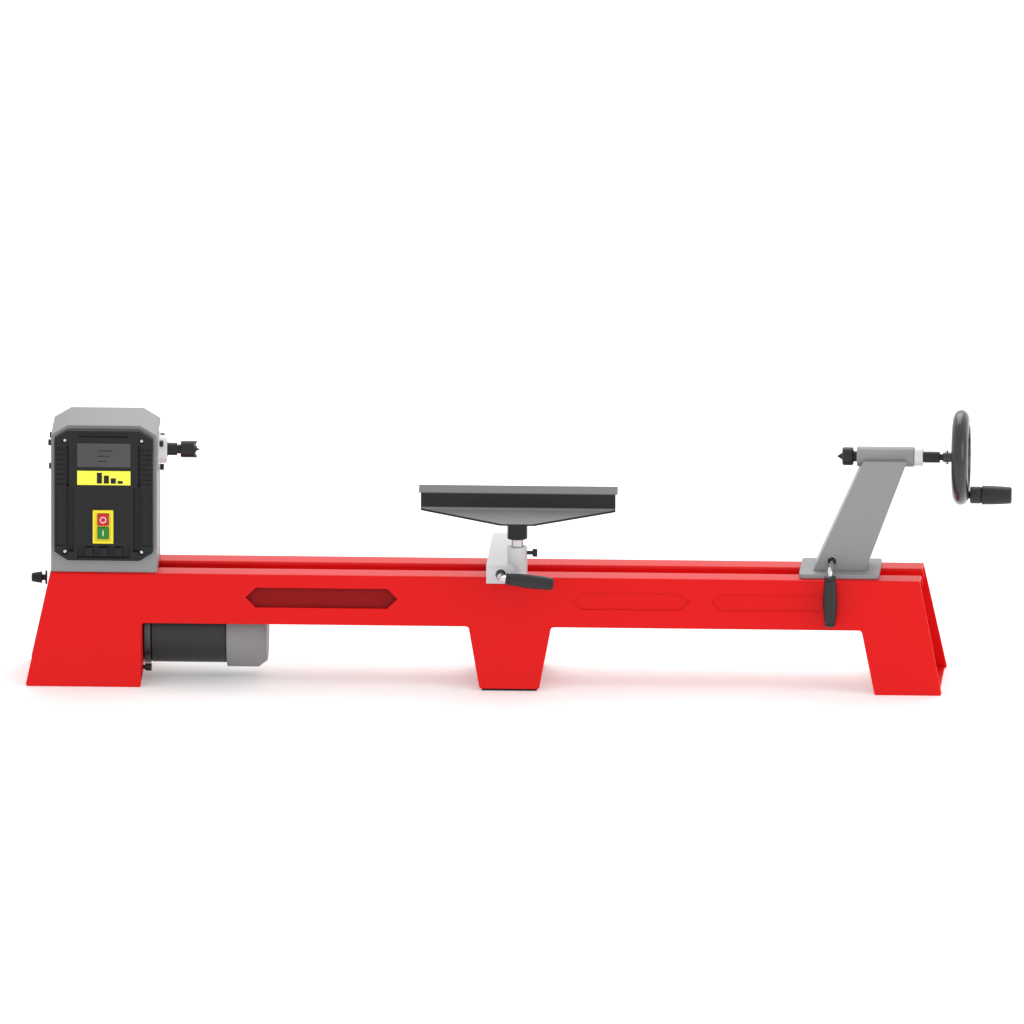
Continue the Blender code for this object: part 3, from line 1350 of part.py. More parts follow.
def make_handwheel():
    black = finish("Black cast handwheel", "38383A", 0.35)
    grip_black = finish("Black nylon crank handle", "3A3A3C", 0.5)
    centre = (WHEEL_X, 0, SPINDLE_HEIGHT)
    axis = (1, 0, 0)
    inner = WHEEL_RADIUS - 0.024
    hub = 0.0115
    web = 0.004
    bore = SCREW_RADIUS + GAP
    rim = [
        (-0.0270, 0.00735),
        (-0.0140, 0.00735),
        (-0.0125, hub + 0.004),
        (-web, hub + 0.010),
        (-web, inner),
        (-WHEEL_RIM + 0.003, inner + 0.002),
        (-WHEEL_RIM, inner + 0.008),
        (-WHEEL_RIM + 0.001, WHEEL_RADIUS - 0.006),
        (-0.006, WHEEL_RADIUS - 0.001),
        (0, WHEEL_RADIUS),
        (0.006, WHEEL_RADIUS - 0.001),
        (WHEEL_RIM - 0.001, WHEEL_RADIUS - 0.006),
        (WHEEL_RIM, inner + 0.008),
        (WHEEL_RIM - 0.003, inner + 0.002),
        (web, inner),
        (web, hub + 0.006),
        (0.009, hub),
        (0.009, bore),
        (-0.0270, bore),
    ]
    wheel = turned("handwheel", rim, centre, axis, black, steps=28, hollow=True)
    pin_z = SPINDLE_HEIGHT - CRANK_RADIUS
    pin_start = WHEEL_X
    pin_end = WHEEL_X + 0.060
    join(wheel, rod("crank_pin", (pin_start, 0, pin_z), (pin_end, 0, pin_z), 0.0045))
    start = WHEEL_X + 0.0136
    handle = [
        (0, 0.0051),
        (0, 0.0119),
        (0.001, 0.0129),
        (0.0150, 0.0129),
        (0.0200, 0.0144),
        (0.0300, 0.0146),
        (0.0600, 0.0128),
        (0.0614, 0.0116),
        (0.0614, 0),
        (0.0480, 0),
        (0.0480, 0.0051),
    ]
    solid = [(0, 0), *handle[1:9]]
    crank = turned("crank_handle", solid, (start, 0, pin_z), axis, grip_black, steps=20)
    cut(crank, rod("crank_bore", (start - 0.01, 0, pin_z), (pin_end + GAP, 0, pin_z), 0.0045 + RUNNING_GAP))


def main():
    global PARTS, CUTTERS
    clear_scene()
    PARTS = new_collection("wood_lathe")
    CUTTERS = new_collection("cutters")
    make_bed()
    make_cord_gland()
    make_housing()
    make_panel()
    make_spindle()
    make_belt()
    make_motor()
    make_banjo()
    make_tool_rest()
    make_tailstock_casting()
    make_tailstock_clamp()
    make_quill()
    make_handwheel()


main()
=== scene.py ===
"""Looks of the wood lathe: finishes, smooth and detailed pieces, light and camera."""

import json
import math

import bpy
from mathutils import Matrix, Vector

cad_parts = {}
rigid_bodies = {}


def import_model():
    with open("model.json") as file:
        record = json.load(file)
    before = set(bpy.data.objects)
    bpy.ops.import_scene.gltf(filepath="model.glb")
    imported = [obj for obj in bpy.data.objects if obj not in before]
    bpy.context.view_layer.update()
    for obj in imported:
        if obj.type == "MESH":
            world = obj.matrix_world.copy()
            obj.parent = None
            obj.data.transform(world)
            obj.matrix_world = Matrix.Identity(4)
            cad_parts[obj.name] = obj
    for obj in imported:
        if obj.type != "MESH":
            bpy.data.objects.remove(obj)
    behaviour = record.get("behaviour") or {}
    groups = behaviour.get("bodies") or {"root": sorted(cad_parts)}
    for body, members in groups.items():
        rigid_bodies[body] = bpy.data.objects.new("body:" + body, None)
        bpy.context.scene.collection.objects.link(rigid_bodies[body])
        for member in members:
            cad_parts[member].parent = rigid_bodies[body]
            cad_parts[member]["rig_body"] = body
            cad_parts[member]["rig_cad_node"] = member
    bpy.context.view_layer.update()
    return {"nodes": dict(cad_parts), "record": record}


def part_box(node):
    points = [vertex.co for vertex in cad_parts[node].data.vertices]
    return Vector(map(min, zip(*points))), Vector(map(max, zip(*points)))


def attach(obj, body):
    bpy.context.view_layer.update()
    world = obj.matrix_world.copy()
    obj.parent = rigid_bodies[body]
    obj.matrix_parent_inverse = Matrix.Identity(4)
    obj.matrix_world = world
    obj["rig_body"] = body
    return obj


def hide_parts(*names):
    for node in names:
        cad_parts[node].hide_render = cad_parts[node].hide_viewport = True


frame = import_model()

scene = bpy.context.scene
scene.view_settings.view_transform = "Standard"
nodes = frame["nodes"]


# ---- working habits ----
def srgb(hex_colour, alpha=1.0):
    """An sRGB hex colour as the linear values that a shader takes."""
    channels = [int(hex_colour[i : i + 2], 16) / 255 for i in (0, 2, 4)]
    line = [c / 12.92 if c <= 0.04045 else ((c + 0.055) / 1.055) ** 2.4 for c in channels]
    return (*line, alpha)


def add_node(material, kind, settings=None, links=None):
    """Adds one node, with its settings, and the sockets that feed it."""
    tree = material.node_tree
    node = tree.nodes.new(kind)
    for name, value in (settings or {}).items():
        if name in node.inputs:
            node.inputs[name].default_value = value
        else:
            setattr(node, name, value)
    for name, socket in (links or {}).items():
        tree.links.new(socket, node.inputs[name])
    return node


def deselect():
    bpy.ops.object.select_all(action="DESELECT")


def take(piece):
    """Selects one piece, and makes it the active one."""
    deselect()
    piece.select_set(True)
    bpy.context.view_layer.objects.active = piece


def settle(piece):
    """Puts a finished piece's place into its mesh, with its origin at the world's."""
    take(piece)
    bpy.ops.object.transform_apply(location=True, rotation=True, scale=True)


def smooth(piece, degrees=35):
    take(piece)
    bpy.ops.object.shade_smooth_by_angle(angle=math.radians(degrees))


def place(piece, name, body, material, stands_for=()):
    """Names a finished piece and fixes it to the lathe."""
    piece.name = name
    piece.data.name = name
    piece.data.materials.clear()
    piece.data.materials.append(material)
    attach(piece, body)
    if stands_for:
        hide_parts(*stands_for)
    return piece


# ---- finishes ----
def painted(name, hex_colour, roughness, grain_mm, depth, coat=0.0, spread=0.03, shine=0.5):
    """Sprayed paint: an even colour, with the faint orange peel that spraying leaves."""
    material = bpy.data.materials.new(name)
    material.use_nodes = True
    shader = material.node_tree.nodes["Principled BSDF"]
    where = add_node(material, "ShaderNodeTexCoord")
    peel = add_node(
        material,
        "ShaderNodeTexNoise",
        {"Scale": 1000 / grain_mm, "Detail": 2.0},
        {"Vector": where.outputs["Object"]},
    )
    cloud = add_node(
        material,
        "ShaderNodeTexNoise",
        {"Scale": 9.0, "Detail": 3.0},
        {"Vector": where.outputs["Object"]},
    )
    shade = add_node(material, "ShaderNodeValToRGB", {}, {"Fac": cloud.outputs["Fac"]})
    base = srgb(hex_colour)
    shade.color_ramp.elements[0].color = [c * (1 - spread) for c in base[:3]] + [1]
    shade.color_ramp.elements[1].color = [min(1, c * (1 + spread)) for c in base[:3]] + [1]
    bump = add_node(
        material,
        "ShaderNodeBump",
        {"Strength": depth, "Distance": 0.0002},
        {"Height": peel.outputs["Fac"]},
    )
    material.node_tree.links.new(shade.outputs["Color"], shader.inputs["Base Color"])
    material.node_tree.links.new(bump.outputs["Normal"], shader.inputs["Normal"])
    shader.inputs["Roughness"].default_value = roughness
    shader.inputs["Specular IOR Level"].default_value = shine
    shader.inputs["Coat Weight"].default_value = coat
    shader.inputs["Coat Roughness"].default_value = 0.12
    return material


def moulded(name, hex_colour, roughness, grain_mm, depth, shine=0.35):
    """Moulded plastic: the mould's fine spark texture, which scatters the light a little."""
    return painted(name, hex_colour, roughness, grain_mm, depth, coat=0.0, spread=0.05, shine=shine)


def turned_metal(name, hex_colour, roughness, ring_mm, depth, metallic=1.0):
    """Turned or ground metal: fine rings round the work's axis, with a slightly uneven sheen."""
    material = bpy.data.materials.new(name)
    material.use_nodes = True
    shader = material.node_tree.nodes["Principled BSDF"]
    where = add_node(material, "ShaderNodeTexCoord")
    rings = add_node(
        material,
        "ShaderNodeTexWave",
        {"Scale": 160 / ring_mm, "Distortion": 0.6, "Detail": 2.0, "bands_direction": "X"},
        {"Vector": where.outputs["Object"]},
    )
    sheen = add_node(
        material, "ShaderNodeTexNoise", {"Scale": 60.0}, {"Vector": where.outputs["Object"]}
    )
    rough = add_node(
        material,
        "ShaderNodeMapRange",
        {"To Min": roughness * 0.8, "To Max": roughness * 1.25},
        {"Value": sheen.outputs["Fac"]},
    )
    bump = add_node(
        material,
        "ShaderNodeBump",
        {"Strength": depth, "Distance": 0.0001},
        {"Height": rings.outputs["Fac"]},
    )
    shader.inputs["Base Color"].default_value = srgb(hex_colour)
    shader.inputs["Metallic"].default_value = metallic
    material.node_tree.links.new(rough.outputs["Result"], shader.inputs["Roughness"])
    material.node_tree.links.new(bump.outputs["Normal"], shader.inputs["Normal"])
    return material


# glossy enamel on folded sheet: a saturated red under a thin clear gloss
red_enamel = painted("red enamel on sheet steel", "DC0A0C", 0.36, 1.6, 0.05, coat=0.04, shine=0.18)
# the same enamel, darkened to paint the shade inside the bed where no light reaches
shade_painted_enamel = painted("red enamel darkened as painted shade", "90080C", 0.5, 1.6, 0.05, shine=0.15)
# satin grey on the box, a little cooler than the tailstock's
box_grey = painted("light grey satin paint", "8C8C8D", 0.45, 1.2, 0.10)
carrier_grey = painted("silver grey paint on the carrier", "C6C6C7", 0.34, 1.2, 0.08, coat=0.15)
tailstock_grey = painted("grey paint on the tailstock", "8C8C8D", 0.38, 1.2, 0.10)
# powder coat: coarser peel than spray
powder_black = painted("black powder coat", "1E1E20", 0.33, 0.9, 0.14, shine=0.9)
motor_black = painted("dark motor paint", "202022", 0.45, 1.0, 0.14)
bearing_white = painted("bright silver bearing housing", "DADADC", 0.3, 1.0, 0.06, coat=0.2)
# ABS and nylon: matt with a fine spark texture
panel_abs = moulded("black moulded ABS", "18181A", 0.45, 0.8, 0.20, shine=0.3)
grip_nylon = moulded("black moulded nylon", "242426", 0.42, 0.8, 0.18)
fan_grey = moulded("grey moulded fan cover", "88888A", 0.5, 0.8, 0.16)
switch_yellow = moulded("yellow moulded switch box", "EEDC30", 0.35, 0.8, 0.06)
stop_red = moulded("red button plastic", "C4202C", 0.3, 0.8, 0.04)
start_green = moulded("green button plastic", "1E7E26", 0.3, 0.8, 0.04)
wheel_black = painted("black glossy handwheel moulding", "1C1C1E", 0.25, 1.4, 0.06, coat=0.3)
print_grey = moulded("dark grey printed film", "48484A", 0.30, 1.0, 0.03)
print_yellow = moulded("yellow printed film", "FAF84E", 0.35, 1.0, 0.03)
print_black = moulded("black printing ink", "141414", 0.5, 1.0, 0.02)
print_white = moulded("white printing ink", "F0F0F0", 0.45, 1.0, 0.02)
rubber = moulded("black rubber", "161616", 0.75, 0.6, 0.25)
# metals
chrome = turned_metal("chromed rod", "DADADE", 0.10, 0.8, 0.02)
bright_steel = turned_metal("turned bright steel", "C2C2C6", 0.24, 0.5, 0.06)
black_steel = turned_metal("blackened steel", "2A2A2C", 0.38, 0.5, 0.06, metallic=0.6)
cast_aluminium = turned_metal("cast aluminium", "B4B6B8", 0.4, 0.6, 0.08)

# powder coat on the rest with painted top light: the faces that look up, the lip and the flange,
# are painted a paler grey, and the band between them keeps its black
rest_painted_top_light = painted("black powder coat, painted lighter on top", "1A1A1C", 0.42, 0.9, 0.12, shine=0.3)
facing = add_node(rest_painted_top_light, "ShaderNodeTexCoord")
upward = add_node(rest_painted_top_light, "ShaderNodeSeparateXYZ", links={"Vector": facing.outputs["Normal"]})
# mask of the upward-facing faces that get the painted top light
top_light_mask = add_node(
    rest_painted_top_light,
    "ShaderNodeMapRange",
    {"From Min": 0.25, "From Max": 0.65},
    {"Value": upward.outputs["Z"]},
)
painted_light_mix = add_node(rest_painted_top_light, "ShaderNodeMix", {"data_type": "RGBA"})
# the Mix node repeats the names of its sockets, so its factor and colours go by number
factor, upright_colour, painted_light_colour, mixed = 0, 6, 7, 2
painted_light_mix.inputs[upright_colour].default_value = srgb("161618")
# painted top light: the pale grey that faces looking up are given
painted_light_mix.inputs[painted_light_colour].default_value = srgb("7C7C7E")
rest_painted_top_light.node_tree.links.new(top_light_mask.outputs["Result"], painted_light_mix.inputs[factor])
rest_painted_top_light.node_tree.links.new(
    painted_light_mix.outputs[mixed], rest_painted_top_light.node_tree.nodes["Principled BSDF"].inputs["Base Color"]
)

finish_of_slot = {
    "red_paint": red_enamel,
    # this slot takes the enamel darkened as painted shade
    "dark_red_paint": shade_painted_enamel,
    "light_grey_paint": box_grey,
    "silver_paint": carrier_grey,
    "tailstock_paint": tailstock_grey,
    "black_plastic": panel_abs,
    "black_grip": grip_nylon,
    "black_paint": powder_black,
    "dark_grey_paint": motor_black,
    "grey_plastic": fan_grey,
    "label_grey": print_grey,
    "label_yellow": print_yellow,
    "yellow_plastic": switch_yellow,
    "red_plastic": stop_red,
    "green_plastic": start_green,
    "rubber": rubber,
    "black_steel": black_steel,
    "bright_steel": bright_steel,
    "chrome": chrome,
    "cast_aluminium": cast_aluminium,
    "bearing_flange": bearing_white,
    "cast_handwheel": wheel_black,
}
slot_of = {part["node"]: part["material_slot"] for part in frame["record"]["subparts"]}
bodies = frame["record"]["behaviour"]["bodies"]
body_of = {node: body for body, held in bodies.items() for node in held}
for node, cad in nodes.items():
    cad.data.materials.clear()
    cad.data.materials.append(finish_of_slot[slot_of[node]])


# ---- pieces whose shape the frame already has, with eased edges ----
def ease(node, width, segments=2, corner=35, shade=35, pockets=()):
    """A copy of a node, its triangles joined up, its sharp edges rounded and its curves smooth."""
    piece = nodes[node].copy()
    piece.data = nodes[node].data.copy()
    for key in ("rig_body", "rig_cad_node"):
        if key in piece:
            del piece[key]
    piece.parent = None
    bpy.context.collection.objects.link(piece)
    take(piece)
    bpy.ops.object.mode_set(mode="EDIT")
    bpy.ops.mesh.select_all(action="SELECT")
    bpy.ops.mesh.remove_doubles(threshold=0.00002)
    bpy.ops.mesh.dissolve_limited(angle_limit=math.radians(1))
    bpy.ops.object.mode_set(mode="OBJECT")
    for pocket in pockets:
        sink = piece.modifiers.new(pocket.name, "BOOLEAN")
        sink.object = pocket
        sink.solver = "EXACT"
        take(piece)
        bpy.ops.object.modifier_apply(modifier=sink.name)
        bpy.data.objects.remove(pocket)
    if width:
        rounding = piece.modifiers.new("Eased edges", "BEVEL")
        rounding.width = width
        rounding.segments = segments
        rounding.limit_method = "ANGLE"
        rounding.angle_limit = math.radians(corner)
        rounding.use_clamp_overlap = True
        bpy.ops.object.modifier_apply(modifier=rounding.name)
    smooth(piece, shade)
    flats = piece.modifiers.new("Flat faces stay flat", "WEIGHTED_NORMAL")
    flats.keep_sharp = True
    bpy.ops.object.modifier_apply(modifier=flats.name)
    # the tool rest takes the powder coat with painted top light
    material = rest_painted_top_light if node == "tool_rest" else finish_of_slot[slot_of[node]]
    return place(piece, f"{node}_finished", body_of[node], material, (node,))


def pocket(name, low, high):
    """A block that sinks a recess into a moulding."""
    low, high = Vector(low), Vector(high)
    deselect()
    bpy.ops.mesh.primitive_cube_add(size=1, location=(low + high) / 2, scale=high - low)
    block = bpy.context.active_object
    block.name = name
    settle(block)
    return block


# the recesses of the panel's front, which the frame leaves flat
panel_low, panel_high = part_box("control_panel")
front = panel_low.y
out = front - 0.01
left, right, bottom, top = panel_low.x, panel_high.x, panel_low.z, panel_high.z
recesses = [
    pocket(
        "top_band", (left + 0.037, out, top - 0.0105), (right - 0.037, front + 0.0030, top - 0.0030)
    ),
    pocket(
        "tab_well",
        (left + 0.0345, out, bottom + 0.0045),
        (right - 0.0345, front + 0.0040, bottom + 0.0225),
    ),
]
for side in (-1, 1):
    edge = left if side < 0 else right
    inner = edge - side * 0.0165
    outer = edge - side * 0.0030
    near, far = min(inner, outer), max(inner, outer)
    recesses.append(
        pocket(
            f"grip_lower_{side}", (near, out, bottom + 0.022), (far, front + 0.0020, bottom + 0.1075)
        )
    )
    for row in range(8):
        z = bottom + 0.1155 + row * 0.0075
        recesses.append(
            pocket(f"grip_rib_{side}_{row}", (near, out, z), (far, front + 0.0016, z + 0.0042))
        )
ease("control_panel", 0.0007, pockets=recesses)
# three snap tabs stand in the well at the panel's foot
for number, (start, width) in enumerate(((0.0458, 0.0123), (0.0669, 0.0131), (0.0895, 0.0115)), 1):
    tab = pocket(
        f"panel_tab_{number}",
        (left + start, front - 0.0012, bottom + 0.0066),
        (left + start + width, front + 0.0060, bottom + 0.0208),
    )
    rounding = tab.modifiers.new("Corners", "BEVEL")
    rounding.width = 0.0014
    rounding.segments = 3
    take(tab)
    bpy.ops.object.modifier_apply(modifier=rounding.name)
    smooth(tab, 35)
    place(tab, f"panel_tab_{number}", "frame", panel_abs)

for node, width in (
    ("bed_front_plate", 0.0006),
    ("bed_rear_plate", 0.0006),
    ("left_end_plate", 0.0006),
    ("right_foot_plate", 0.0006),
    ("centre_foot_plate", 0.0006),
    ("headstock_housing", 0.0010),
    ("tailstock_base", 0.0009),
    ("tailstock_upright", 0.0022),
    ("banjo_bar", 0.0012),
    ("tool_rest", 0.0004),
    ("motor_mount_plate", 0.0005),
    ("switch_frame", 0.0004),
    ("cord_gland", 0.0004),
    ("left_bearing_flange", 0.0004),
    ("right_bearing_flange", 0.0004),
    ("spindle", 0.0003),
    ("quill", 0.0003),
    ("quill_screw", 0.0002),
    ("motor_flange", 0.0004),
    ("motor_clamp_bolt", 0.0003),
    ("motor_pulley", 0.0003),
    ("spindle_pulley", 0.0003),
    ("tool_rest_stem", 0.0004),
    ("rest_lock_screw", 0.0002),
    ("banjo_lever_rod", 0.0003),
    ("tailstock_lever_rod", 0.0003),
    ("stop_button", 0.0004),
    ("start_button", 0.0004),
    ("banjo_clamp_plate", 0.0004),
    ("tailstock_clamp", 0.0004),
    ("centre_foot_pad", 0.0006),
):
    ease(node, width)
for side in ("left", "right"):
    for number in (1, 2, 3):
        ease(f"{side}_flange_bolt_{number}", 0.0002)
for number in (1, 2, 3, 4):
    ease(f"panel_screw_{number}", 0.0002)


# ---- turned pieces ----
def turn_up(name, stations, centre, sides=64, along="X"):
    """Turns a piece from a disc.

    Each station (distance, radius) is an extrusion, moved along and scaled.
    """
    centre = Vector(centre)
    step = {"X": Vector((1, 0, 0)), "Z": Vector((0, 0, 1))}[along]
    tilt = {"X": (0, math.radians(90), 0), "Z": (0, 0, 0)}[along]
    first, radius = stations[0]
    deselect()
    bpy.ops.mesh.primitive_circle_add(
        vertices=sides,
        radius=radius,
        fill_type="NGON",
        location=centre + step * first,
        rotation=tilt,
    )
    piece = bpy.context.active_object
    piece.name = name
    settle(piece)
    bpy.ops.object.mode_set(mode="EDIT")
    bpy.ops.mesh.select_all(action="SELECT")
    at = first
    for reach, wide in stations[1:]:
        bpy.ops.mesh.extrude_region_move(TRANSFORM_OT_translate={"value": step * (reach - at)})
        ratio = wide / radius
        scale = (1, ratio, ratio) if along == "X" else (ratio, ratio, 1)
        bpy.ops.transform.resize(value=scale, center_override=centre + step * reach)
        at = reach
        radius = wide
    bpy.ops.mesh.select_all(action="SELECT")
    bpy.ops.mesh.normals_make_consistent(inside=False)
    bpy.ops.object.mode_set(mode="OBJECT")
    smooth(piece, 40)
    return piece


def bore_out(piece, centre, start, end, radius, sides=64):
    """Drills a piece along the bed's direction, so that what turns or slides in it has room."""
    drill = turn_up("drill", [(start, radius), (end, radius)], centre, sides=sides)
    hole = piece.modifiers.new("Bore", "BOOLEAN")
    hole.object = drill
    hole.solver = "EXACT"
    take(piece)
    bpy.ops.object.modifier_apply(modifier=hole.name)
    bpy.data.objects.remove(drill)
    smooth(piece, 40)


def span(node):
    """The lowest and highest corners, and the middle, of a node."""
    low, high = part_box(node)
    return low, high, (low + high) / 2


clear = 0.001  # how far a drill starts outside the piece

# the motor's painted can, with a rolled edge at each end
low, high, middle = span("motor_body")
radius = (high.z - low.z) / 2
can = [(low.x, radius - 0.002), (low.x + 0.002, radius)]
can += [(high.x - 0.001, radius), (high.x, radius - 0.001)]
piece = turn_up("motor_can", can, (0, middle.y, middle.z), sides=96)
can_wall = 0.003
bore_out(
    piece, (0, middle.y, middle.z), low.x - clear, high.x + clear, radius - can_wall, sides=96
)
place(piece, "motor_can", "motor", motor_black, ("motor_body",))

# the moulded fan cover, chamfered at its outer end
low, high, middle = span("motor_fan_cover")
radius = (high.z - low.z) / 2
cover = [
    (low.x, radius - 0.001),
    (low.x + 0.001, radius),
    (high.x - 0.013, radius),
    (high.x - 0.001, radius - 0.009),
    (high.x, radius - 0.010),
]
piece = turn_up("fan_cover", cover, (0, middle.y, middle.z), sides=96)
# room for the fan, then a narrower room for the end of the shaft
bore_out(
    piece, (0, middle.y, middle.z), low.x - clear, high.x - 0.0145, radius - can_wall, sides=96
)
bore_out(
    piece, (0, middle.y, middle.z), high.x - 0.016, high.x - 0.003, radius - 0.016, sides=96
)
place(piece, "fan_cover", "motor", fan_grey, ("motor_fan_cover",))


def turned_piece(node, name, stations, sides=64, bores=()):
    """A turned piece on a node's own axis, along the bed, that stands for it.

    Each bore is (start, end, radius), in the bed's direction.
    """
    middle = span(node)[2]
    piece = turn_up(name, stations, (0, middle.y, middle.z), sides=sides)
    for start, end, radius in bores:
        bore_out(piece, (0, middle.y, middle.z), start, end, radius)
    return place(piece, name, body_of[node], finish_of_slot[slot_of[node]], (node,))


# the crank's handle: a narrower sleeve, a step, then the ribbed part that turns in the hand
low, high, middle = span("crank_handle")
length = high.x - low.x
crank = [(low.x, 0.0117), (low.x + 0.001, 0.0127)]
crank += [(low.x + 0.0150, 0.0127), (low.x + 0.0165, 0.0117)]
crank += [(low.x + 0.0180, 0.0140)]
for rib in range(17):
    share = rib / 16
    swell = 0.0143 - 0.0016 * share ** 2
    crank.append((low.x + 0.0200 + share * (length - 0.0230), swell - 0.0005 * (rib % 2)))
crank += [(high.x - 0.0015, 0.0122), (high.x, 0.0106)]
pin_radius = 0.0045
pin_end = span("handwheel")[1].x
pin_bore = (low.x - clear, pin_end + 0.0006, pin_radius + 0.0004)
turned_piece("crank_handle", "crank_grip", crank, bores=[pin_bore])

# the handwheel: a round-edged rim, a thin dished web and a long hub
low, high, middle = span("handwheel")
radius = (high.z - low.z) / 2
axle = span("quill_screw")[2].z
wheel_x = low.x + 0.0270
wheel = [(low.x, 0.0066), (low.x + 0.0008, 0.00735)]
wheel += [(wheel_x - 0.0140, 0.00735), (wheel_x - 0.0125, 0.0155)]
wheel += [(wheel_x - 0.0040, 0.0215), (wheel_x - 0.0040, radius - 0.0245)]
for turn in range(25):
    angle = math.radians(200 - 220 * turn / 24)
    wheel.append((wheel_x + 0.0125 * math.cos(angle), radius - 0.0160 + 0.0160 * math.sin(angle)))
wheel += [(wheel_x + 0.0040, radius - 0.0245), (wheel_x + 0.0040, 0.0175)]
wheel += [(wheel_x + 0.0090, 0.0115)]
wheel_piece = turn_up("wheel_rim_and_hub", wheel, (0, 0, axle), sides=128)
screw_end = span("quill_screw")[1].x
hub_bore = 0.0053
hub_end = max(screw_end, wheel_x + 0.010)
bore_out(wheel_piece, (0, 0, axle), low.x - clear, hub_end + clear, hub_bore)
place(wheel_piece, "wheel_rim_and_hub", "handwheel", wheel_black, ("handwheel",))
crank_middle = span("crank_handle")[2]
pin_shape = [(wheel_x, 0.0060), (wheel_x + 0.0126, 0.0060)]
pin_shape += [(wheel_x + 0.0130, pin_radius), (pin_end, pin_radius)]
pin = turn_up("crank_pin", pin_shape, (0, 0, crank_middle.z), sides=32)
place(pin, "crank_pin", "handwheel", black_steel)
# a set screw through the hub locks the wheel to the feed screw
screw_x = low.x + 0.0060
set_screw = turn_up(
    "hub_set_screw",
    [(-0.0105, 0.0018), (-0.0100, 0.0024), (0.0100, 0.0024), (0.0105, 0.0018)],
    (screw_x, 0, axle),
    sides=24,
    along="Z",
)
place(set_screw, "hub_set_screw", "handwheel", bright_steel)

# the drive centre: a collar with four teeth round a point
low, high, middle = span("drive_centre")
crest = high.x - 0.0050
valley = crest - 0.0048
crown_radius = (high.z - low.z) / 2
crown = [(low.x, crown_radius - 0.0006), (low.x + 0.0006, crown_radius)]
crown += [(valley - 0.001, crown_radius)]
crown += [(crest, crown_radius), (crest, crown_radius - 0.0030), (valley, 0.0040), (high.x, 0.0002)]
piece = turn_up("toothed_crown", crown, (0, 0, middle.z), sides=96)
for vert in piece.data.vertices:
    out_from_axis = math.hypot(vert.co.y, vert.co.z - middle.z)
    if vert.co.x > crest - 0.0001 and out_from_axis > crown_radius - 0.0040:
        around = math.degrees(math.atan2(vert.co.z - middle.z, vert.co.y)) / 90 % 1
        vert.co.x = valley + (crest - valley) * abs(around - 0.5) * 2
smooth(piece, 28)
place(piece, "toothed_crown", "spindle", black_steel, ("drive_centre",))

# the barrel, bored steel under paint, and the parts in line with it
low, high, middle = span("tailstock_barrel")
radius = (high.z - low.z) / 2
quill_bore = (span("quill")[1].z - span("quill")[0].z) / 2 + 0.0004
barrel = [(low.x, quill_bore - 0.001), (low.x, radius - 0.0010), (low.x + 0.0010, radius)]
barrel += [(high.x - 0.0010, radius)]
barrel += [(high.x, radius - 0.0010), (high.x, quill_bore - 0.001)]
through = (low.x - clear, high.x + clear, quill_bore)
turned_piece("tailstock_barrel", "barrel_tube", barrel, sides=96, bores=[through])
low, high, middle = span("quill_lock_ring")
radius = (high.z - low.z) / 2
ring_bore = 0.0090
ring = [(low.x, radius - 0.0008), (low.x + 0.0008, radius)]
ring += [(high.x - 0.0008, radius), (high.x, radius - 0.0008)]
through = (low.x - clear, high.x + clear, ring_bore)
turned_piece("quill_lock_ring", "lock_ring_turned", ring, bores=[through])
low, high, middle = span("live_centre")
head = (high.z - low.z) / 2
centre = [(low.x, 0.0002), (low.x + 0.0077, 0.0055)]
centre += [(low.x + 0.0079, head - 0.0020), (low.x + 0.0094, head)]
centre += [(low.x + 0.0229, head), (low.x + 0.0244, head - 0.0020)]
centre += [(low.x + 0.0247, 0.00785), (low.x + 0.0296, 0.00785)]
centre += [(low.x + 0.0296, 0.0064), (high.x, 0.0059)]
turned_piece("live_centre", "live_centre_turned", centre)


# ---- moulded grips on the clamp levers ----
def lever_grip(node, name, start, down, length, first, widest, last):
    """A swelling grip with raised bands at both ends, turned along +X and then tipped down."""
    stations = [(0, first - 0.0014), (0.0010, first), (0.0040, first)]
    stations += [(0.0046, first - 0.0007), (0.0058, first - 0.0007), (0.0064, first + 0.0002)]
    for part in range(1, 12):
        share = part / 12
        if share < 0.6:
            swell = first + (widest - first) * math.sin(math.pi / 2 * share / 0.6)
        else:
            swell = widest + (last - widest) * (share - 0.6) / 0.4
        stations.append((0.0064 + share * (length - 0.0120), swell))
    stations += [(length - 0.0056, last), (length - 0.0050, last - 0.0006)]
    stations += [(length - 0.0038, last - 0.0006)]
    stations += [(length - 0.0032, last), (length - 0.0018, last - 0.0006), (length, last - 0.0030)]
    piece = turn_up(name, stations, (0, 0, 0), sides=64)
    piece.rotation_euler = (0, math.radians(down), 0)
    piece.location = start
    settle(piece)
    smooth(piece, 40)
    return place(piece, name, body_of[node], grip_nylon, (node,))


low, high, middle = span("banjo_lever_grip")
lever_grip(
    "banjo_lever_grip",
    "banjo_grip",
    start=(-0.0035, middle.y, 0.1802),
    down=6,
    length=0.0715,
    first=0.00875,
    widest=0.0105,
    last=0.0095,
)
low, high, middle = span("tailstock_lever_grip")
lever_grip(
    "tailstock_lever_grip",
    "tailstock_grip",
    start=(middle.x, middle.y, high.z),
    down=90,
    length=high.z - low.z,
    first=0.0088,
    widest=0.0110,
    last=0.0085,
)

# the rim round the hole of the tailstock's lever
low, high, middle = span("tailstock_upright")
hole = span("tailstock_lever_rod")
deselect()
bpy.ops.mesh.primitive_torus_add(
    location=(hole[2].x, low.y, 0.1887),
    rotation=(math.radians(90), 0, 0),
    major_radius=0.0078,
    minor_radius=0.0013,
    major_segments=64,
    minor_segments=12,
)
rim = bpy.context.active_object
settle(rim)
smooth(rim, 60)
place(rim, "lever_hole_rim", "tailstock", tailstock_grey)


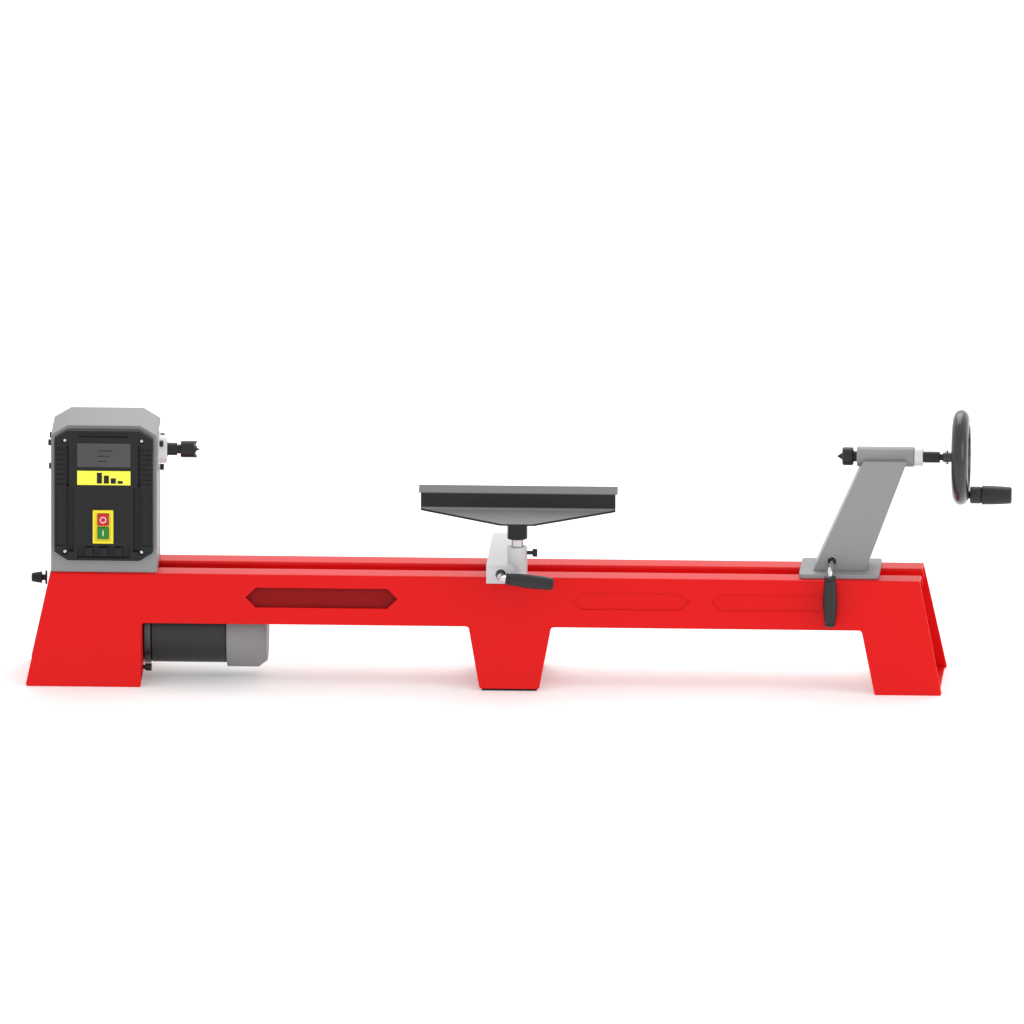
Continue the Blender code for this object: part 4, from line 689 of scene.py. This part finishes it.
# ---- printing on the panel ----
def slab(name, low, high):
    """A thin printed patch with eased corners, from a cube scaled to its corners."""
    low, high = Vector(low), Vector(high)
    deselect()
    bpy.ops.mesh.primitive_cube_add(size=1, location=(low + high) / 2, scale=high - low)
    piece = bpy.context.active_object
    piece.name = name
    settle(piece)
    rounding = piece.modifiers.new("Corners", "BEVEL")
    rounding.width = min(high - low) * 0.3
    rounding.segments = 2
    bpy.ops.object.modifier_apply(modifier=rounding.name)
    return piece


low, high, middle = span("speed_label")
ink = 0.0003
bar_tops = (0.0187, 0.0145, 0.0105, 0.0065)
for number, height in enumerate(bar_tops, 1):
    left = low.x + 0.0291 + (number - 1) * 0.0103
    bar = slab(
        f"speed_bar_{number}",
        (left, low.y - ink, low.z + 0.0023),
        (left + 0.0076, low.y, low.z + height),
    )
    place(bar, f"speed_bar_{number}", "frame", print_black)

low, high, middle = span("info_label")
for number in range(3):
    line = slab(
        f"info_line_{number}",
        (low.x + 0.030, low.y - ink, high.z - 0.012 - number * 0.008),
        (low.x + 0.052 - number * 0.004, low.y, high.z - 0.0108 - number * 0.008),
    )
    place(line, f"info_line_{number}", "frame", print_black)

low, high, middle = span("start_button")
bar = slab(
    "start_mark",
    (middle.x - 0.0007, low.y - ink, middle.z - 0.0042),
    (middle.x + 0.0007, low.y, middle.z + 0.0042),
)
place(bar, "start_mark", "start_button", print_white)
low, high, middle = span("stop_button")
deselect()
bpy.ops.mesh.primitive_torus_add(
    location=(middle.x, low.y, middle.z),
    rotation=(math.radians(90), 0, 0),
    major_radius=0.0042,
    minor_radius=0.0006,
    major_segments=48,
    minor_segments=8,
)
ring = bpy.context.active_object
settle(ring)
smooth(ring, 60)
place(ring, "stop_mark", "stop_button", print_white)


# ---- floor, light and camera ----
deselect()
bpy.ops.mesh.primitive_plane_add(size=60, location=(0, 0, -0.0002))
floor = bpy.context.active_object
floor.name = "floor"
floor_white = bpy.data.materials.new("plain white floor")
floor_white.use_nodes = True
floor_white.node_tree.nodes["Principled BSDF"].inputs["Base Color"].default_value = srgb("F6F6F6")
floor_white.node_tree.nodes["Principled BSDF"].inputs["Roughness"].default_value = 0.9
# a lightbox floor glows a little, which keeps the shadow pale and takes no colour from the bed
floor_white.node_tree.nodes["Principled BSDF"].inputs["Emission Color"].default_value = (1, 1, 1, 1)
floor_white.node_tree.nodes["Principled BSDF"].inputs["Emission Strength"].default_value = 0.16
floor.data.materials.append(floor_white)

world = bpy.data.worlds.new("studio") if scene.world is None else scene.world
scene.world = world
world.use_nodes = True
world.node_tree.nodes["Background"].inputs["Color"].default_value = (1, 1, 1, 1)
world.node_tree.nodes["Background"].inputs["Strength"].default_value = 1.0


def softbox(name, location, power, size, aim=(0, 0, 0.2)):
    lamp = bpy.data.lights.new(name, "AREA")
    lamp.energy = power
    lamp.size = size
    lamp_object = bpy.data.objects.new(name, lamp)
    lamp_object.location = location
    toward = Vector(aim) - Vector(location)
    lamp_object.rotation_euler = toward.to_track_quat("-Z", "Y").to_euler()
    scene.collection.objects.link(lamp_object)


# the top light stands behind, so that flat tops and the tool rest shine towards the camera
softbox("top softbox", (0.2, 1.7, 2.5), 34, 2.2)
softbox("right softbox", (2.6, -1.2, 1.2), 12, 1.6)

azimuth, elevation, distance = math.radians(2.66), math.radians(13.44), 6.0
target = Vector((0, 0, 0.2515))
level = math.cos(elevation)
away = Vector((math.sin(azimuth) * level, -math.cos(azimuth) * level, math.sin(elevation)))
camera_data = bpy.data.cameras.new("camera")
camera_data.type = "ORTHO"
camera_data.ortho_scale = 1.517
camera = bpy.data.objects.new("camera", camera_data)
camera.location = target + away * distance
camera.rotation_euler = (-away).to_track_quat("-Z", "Y").to_euler()
scene.collection.objects.link(camera)
scene.camera = camera
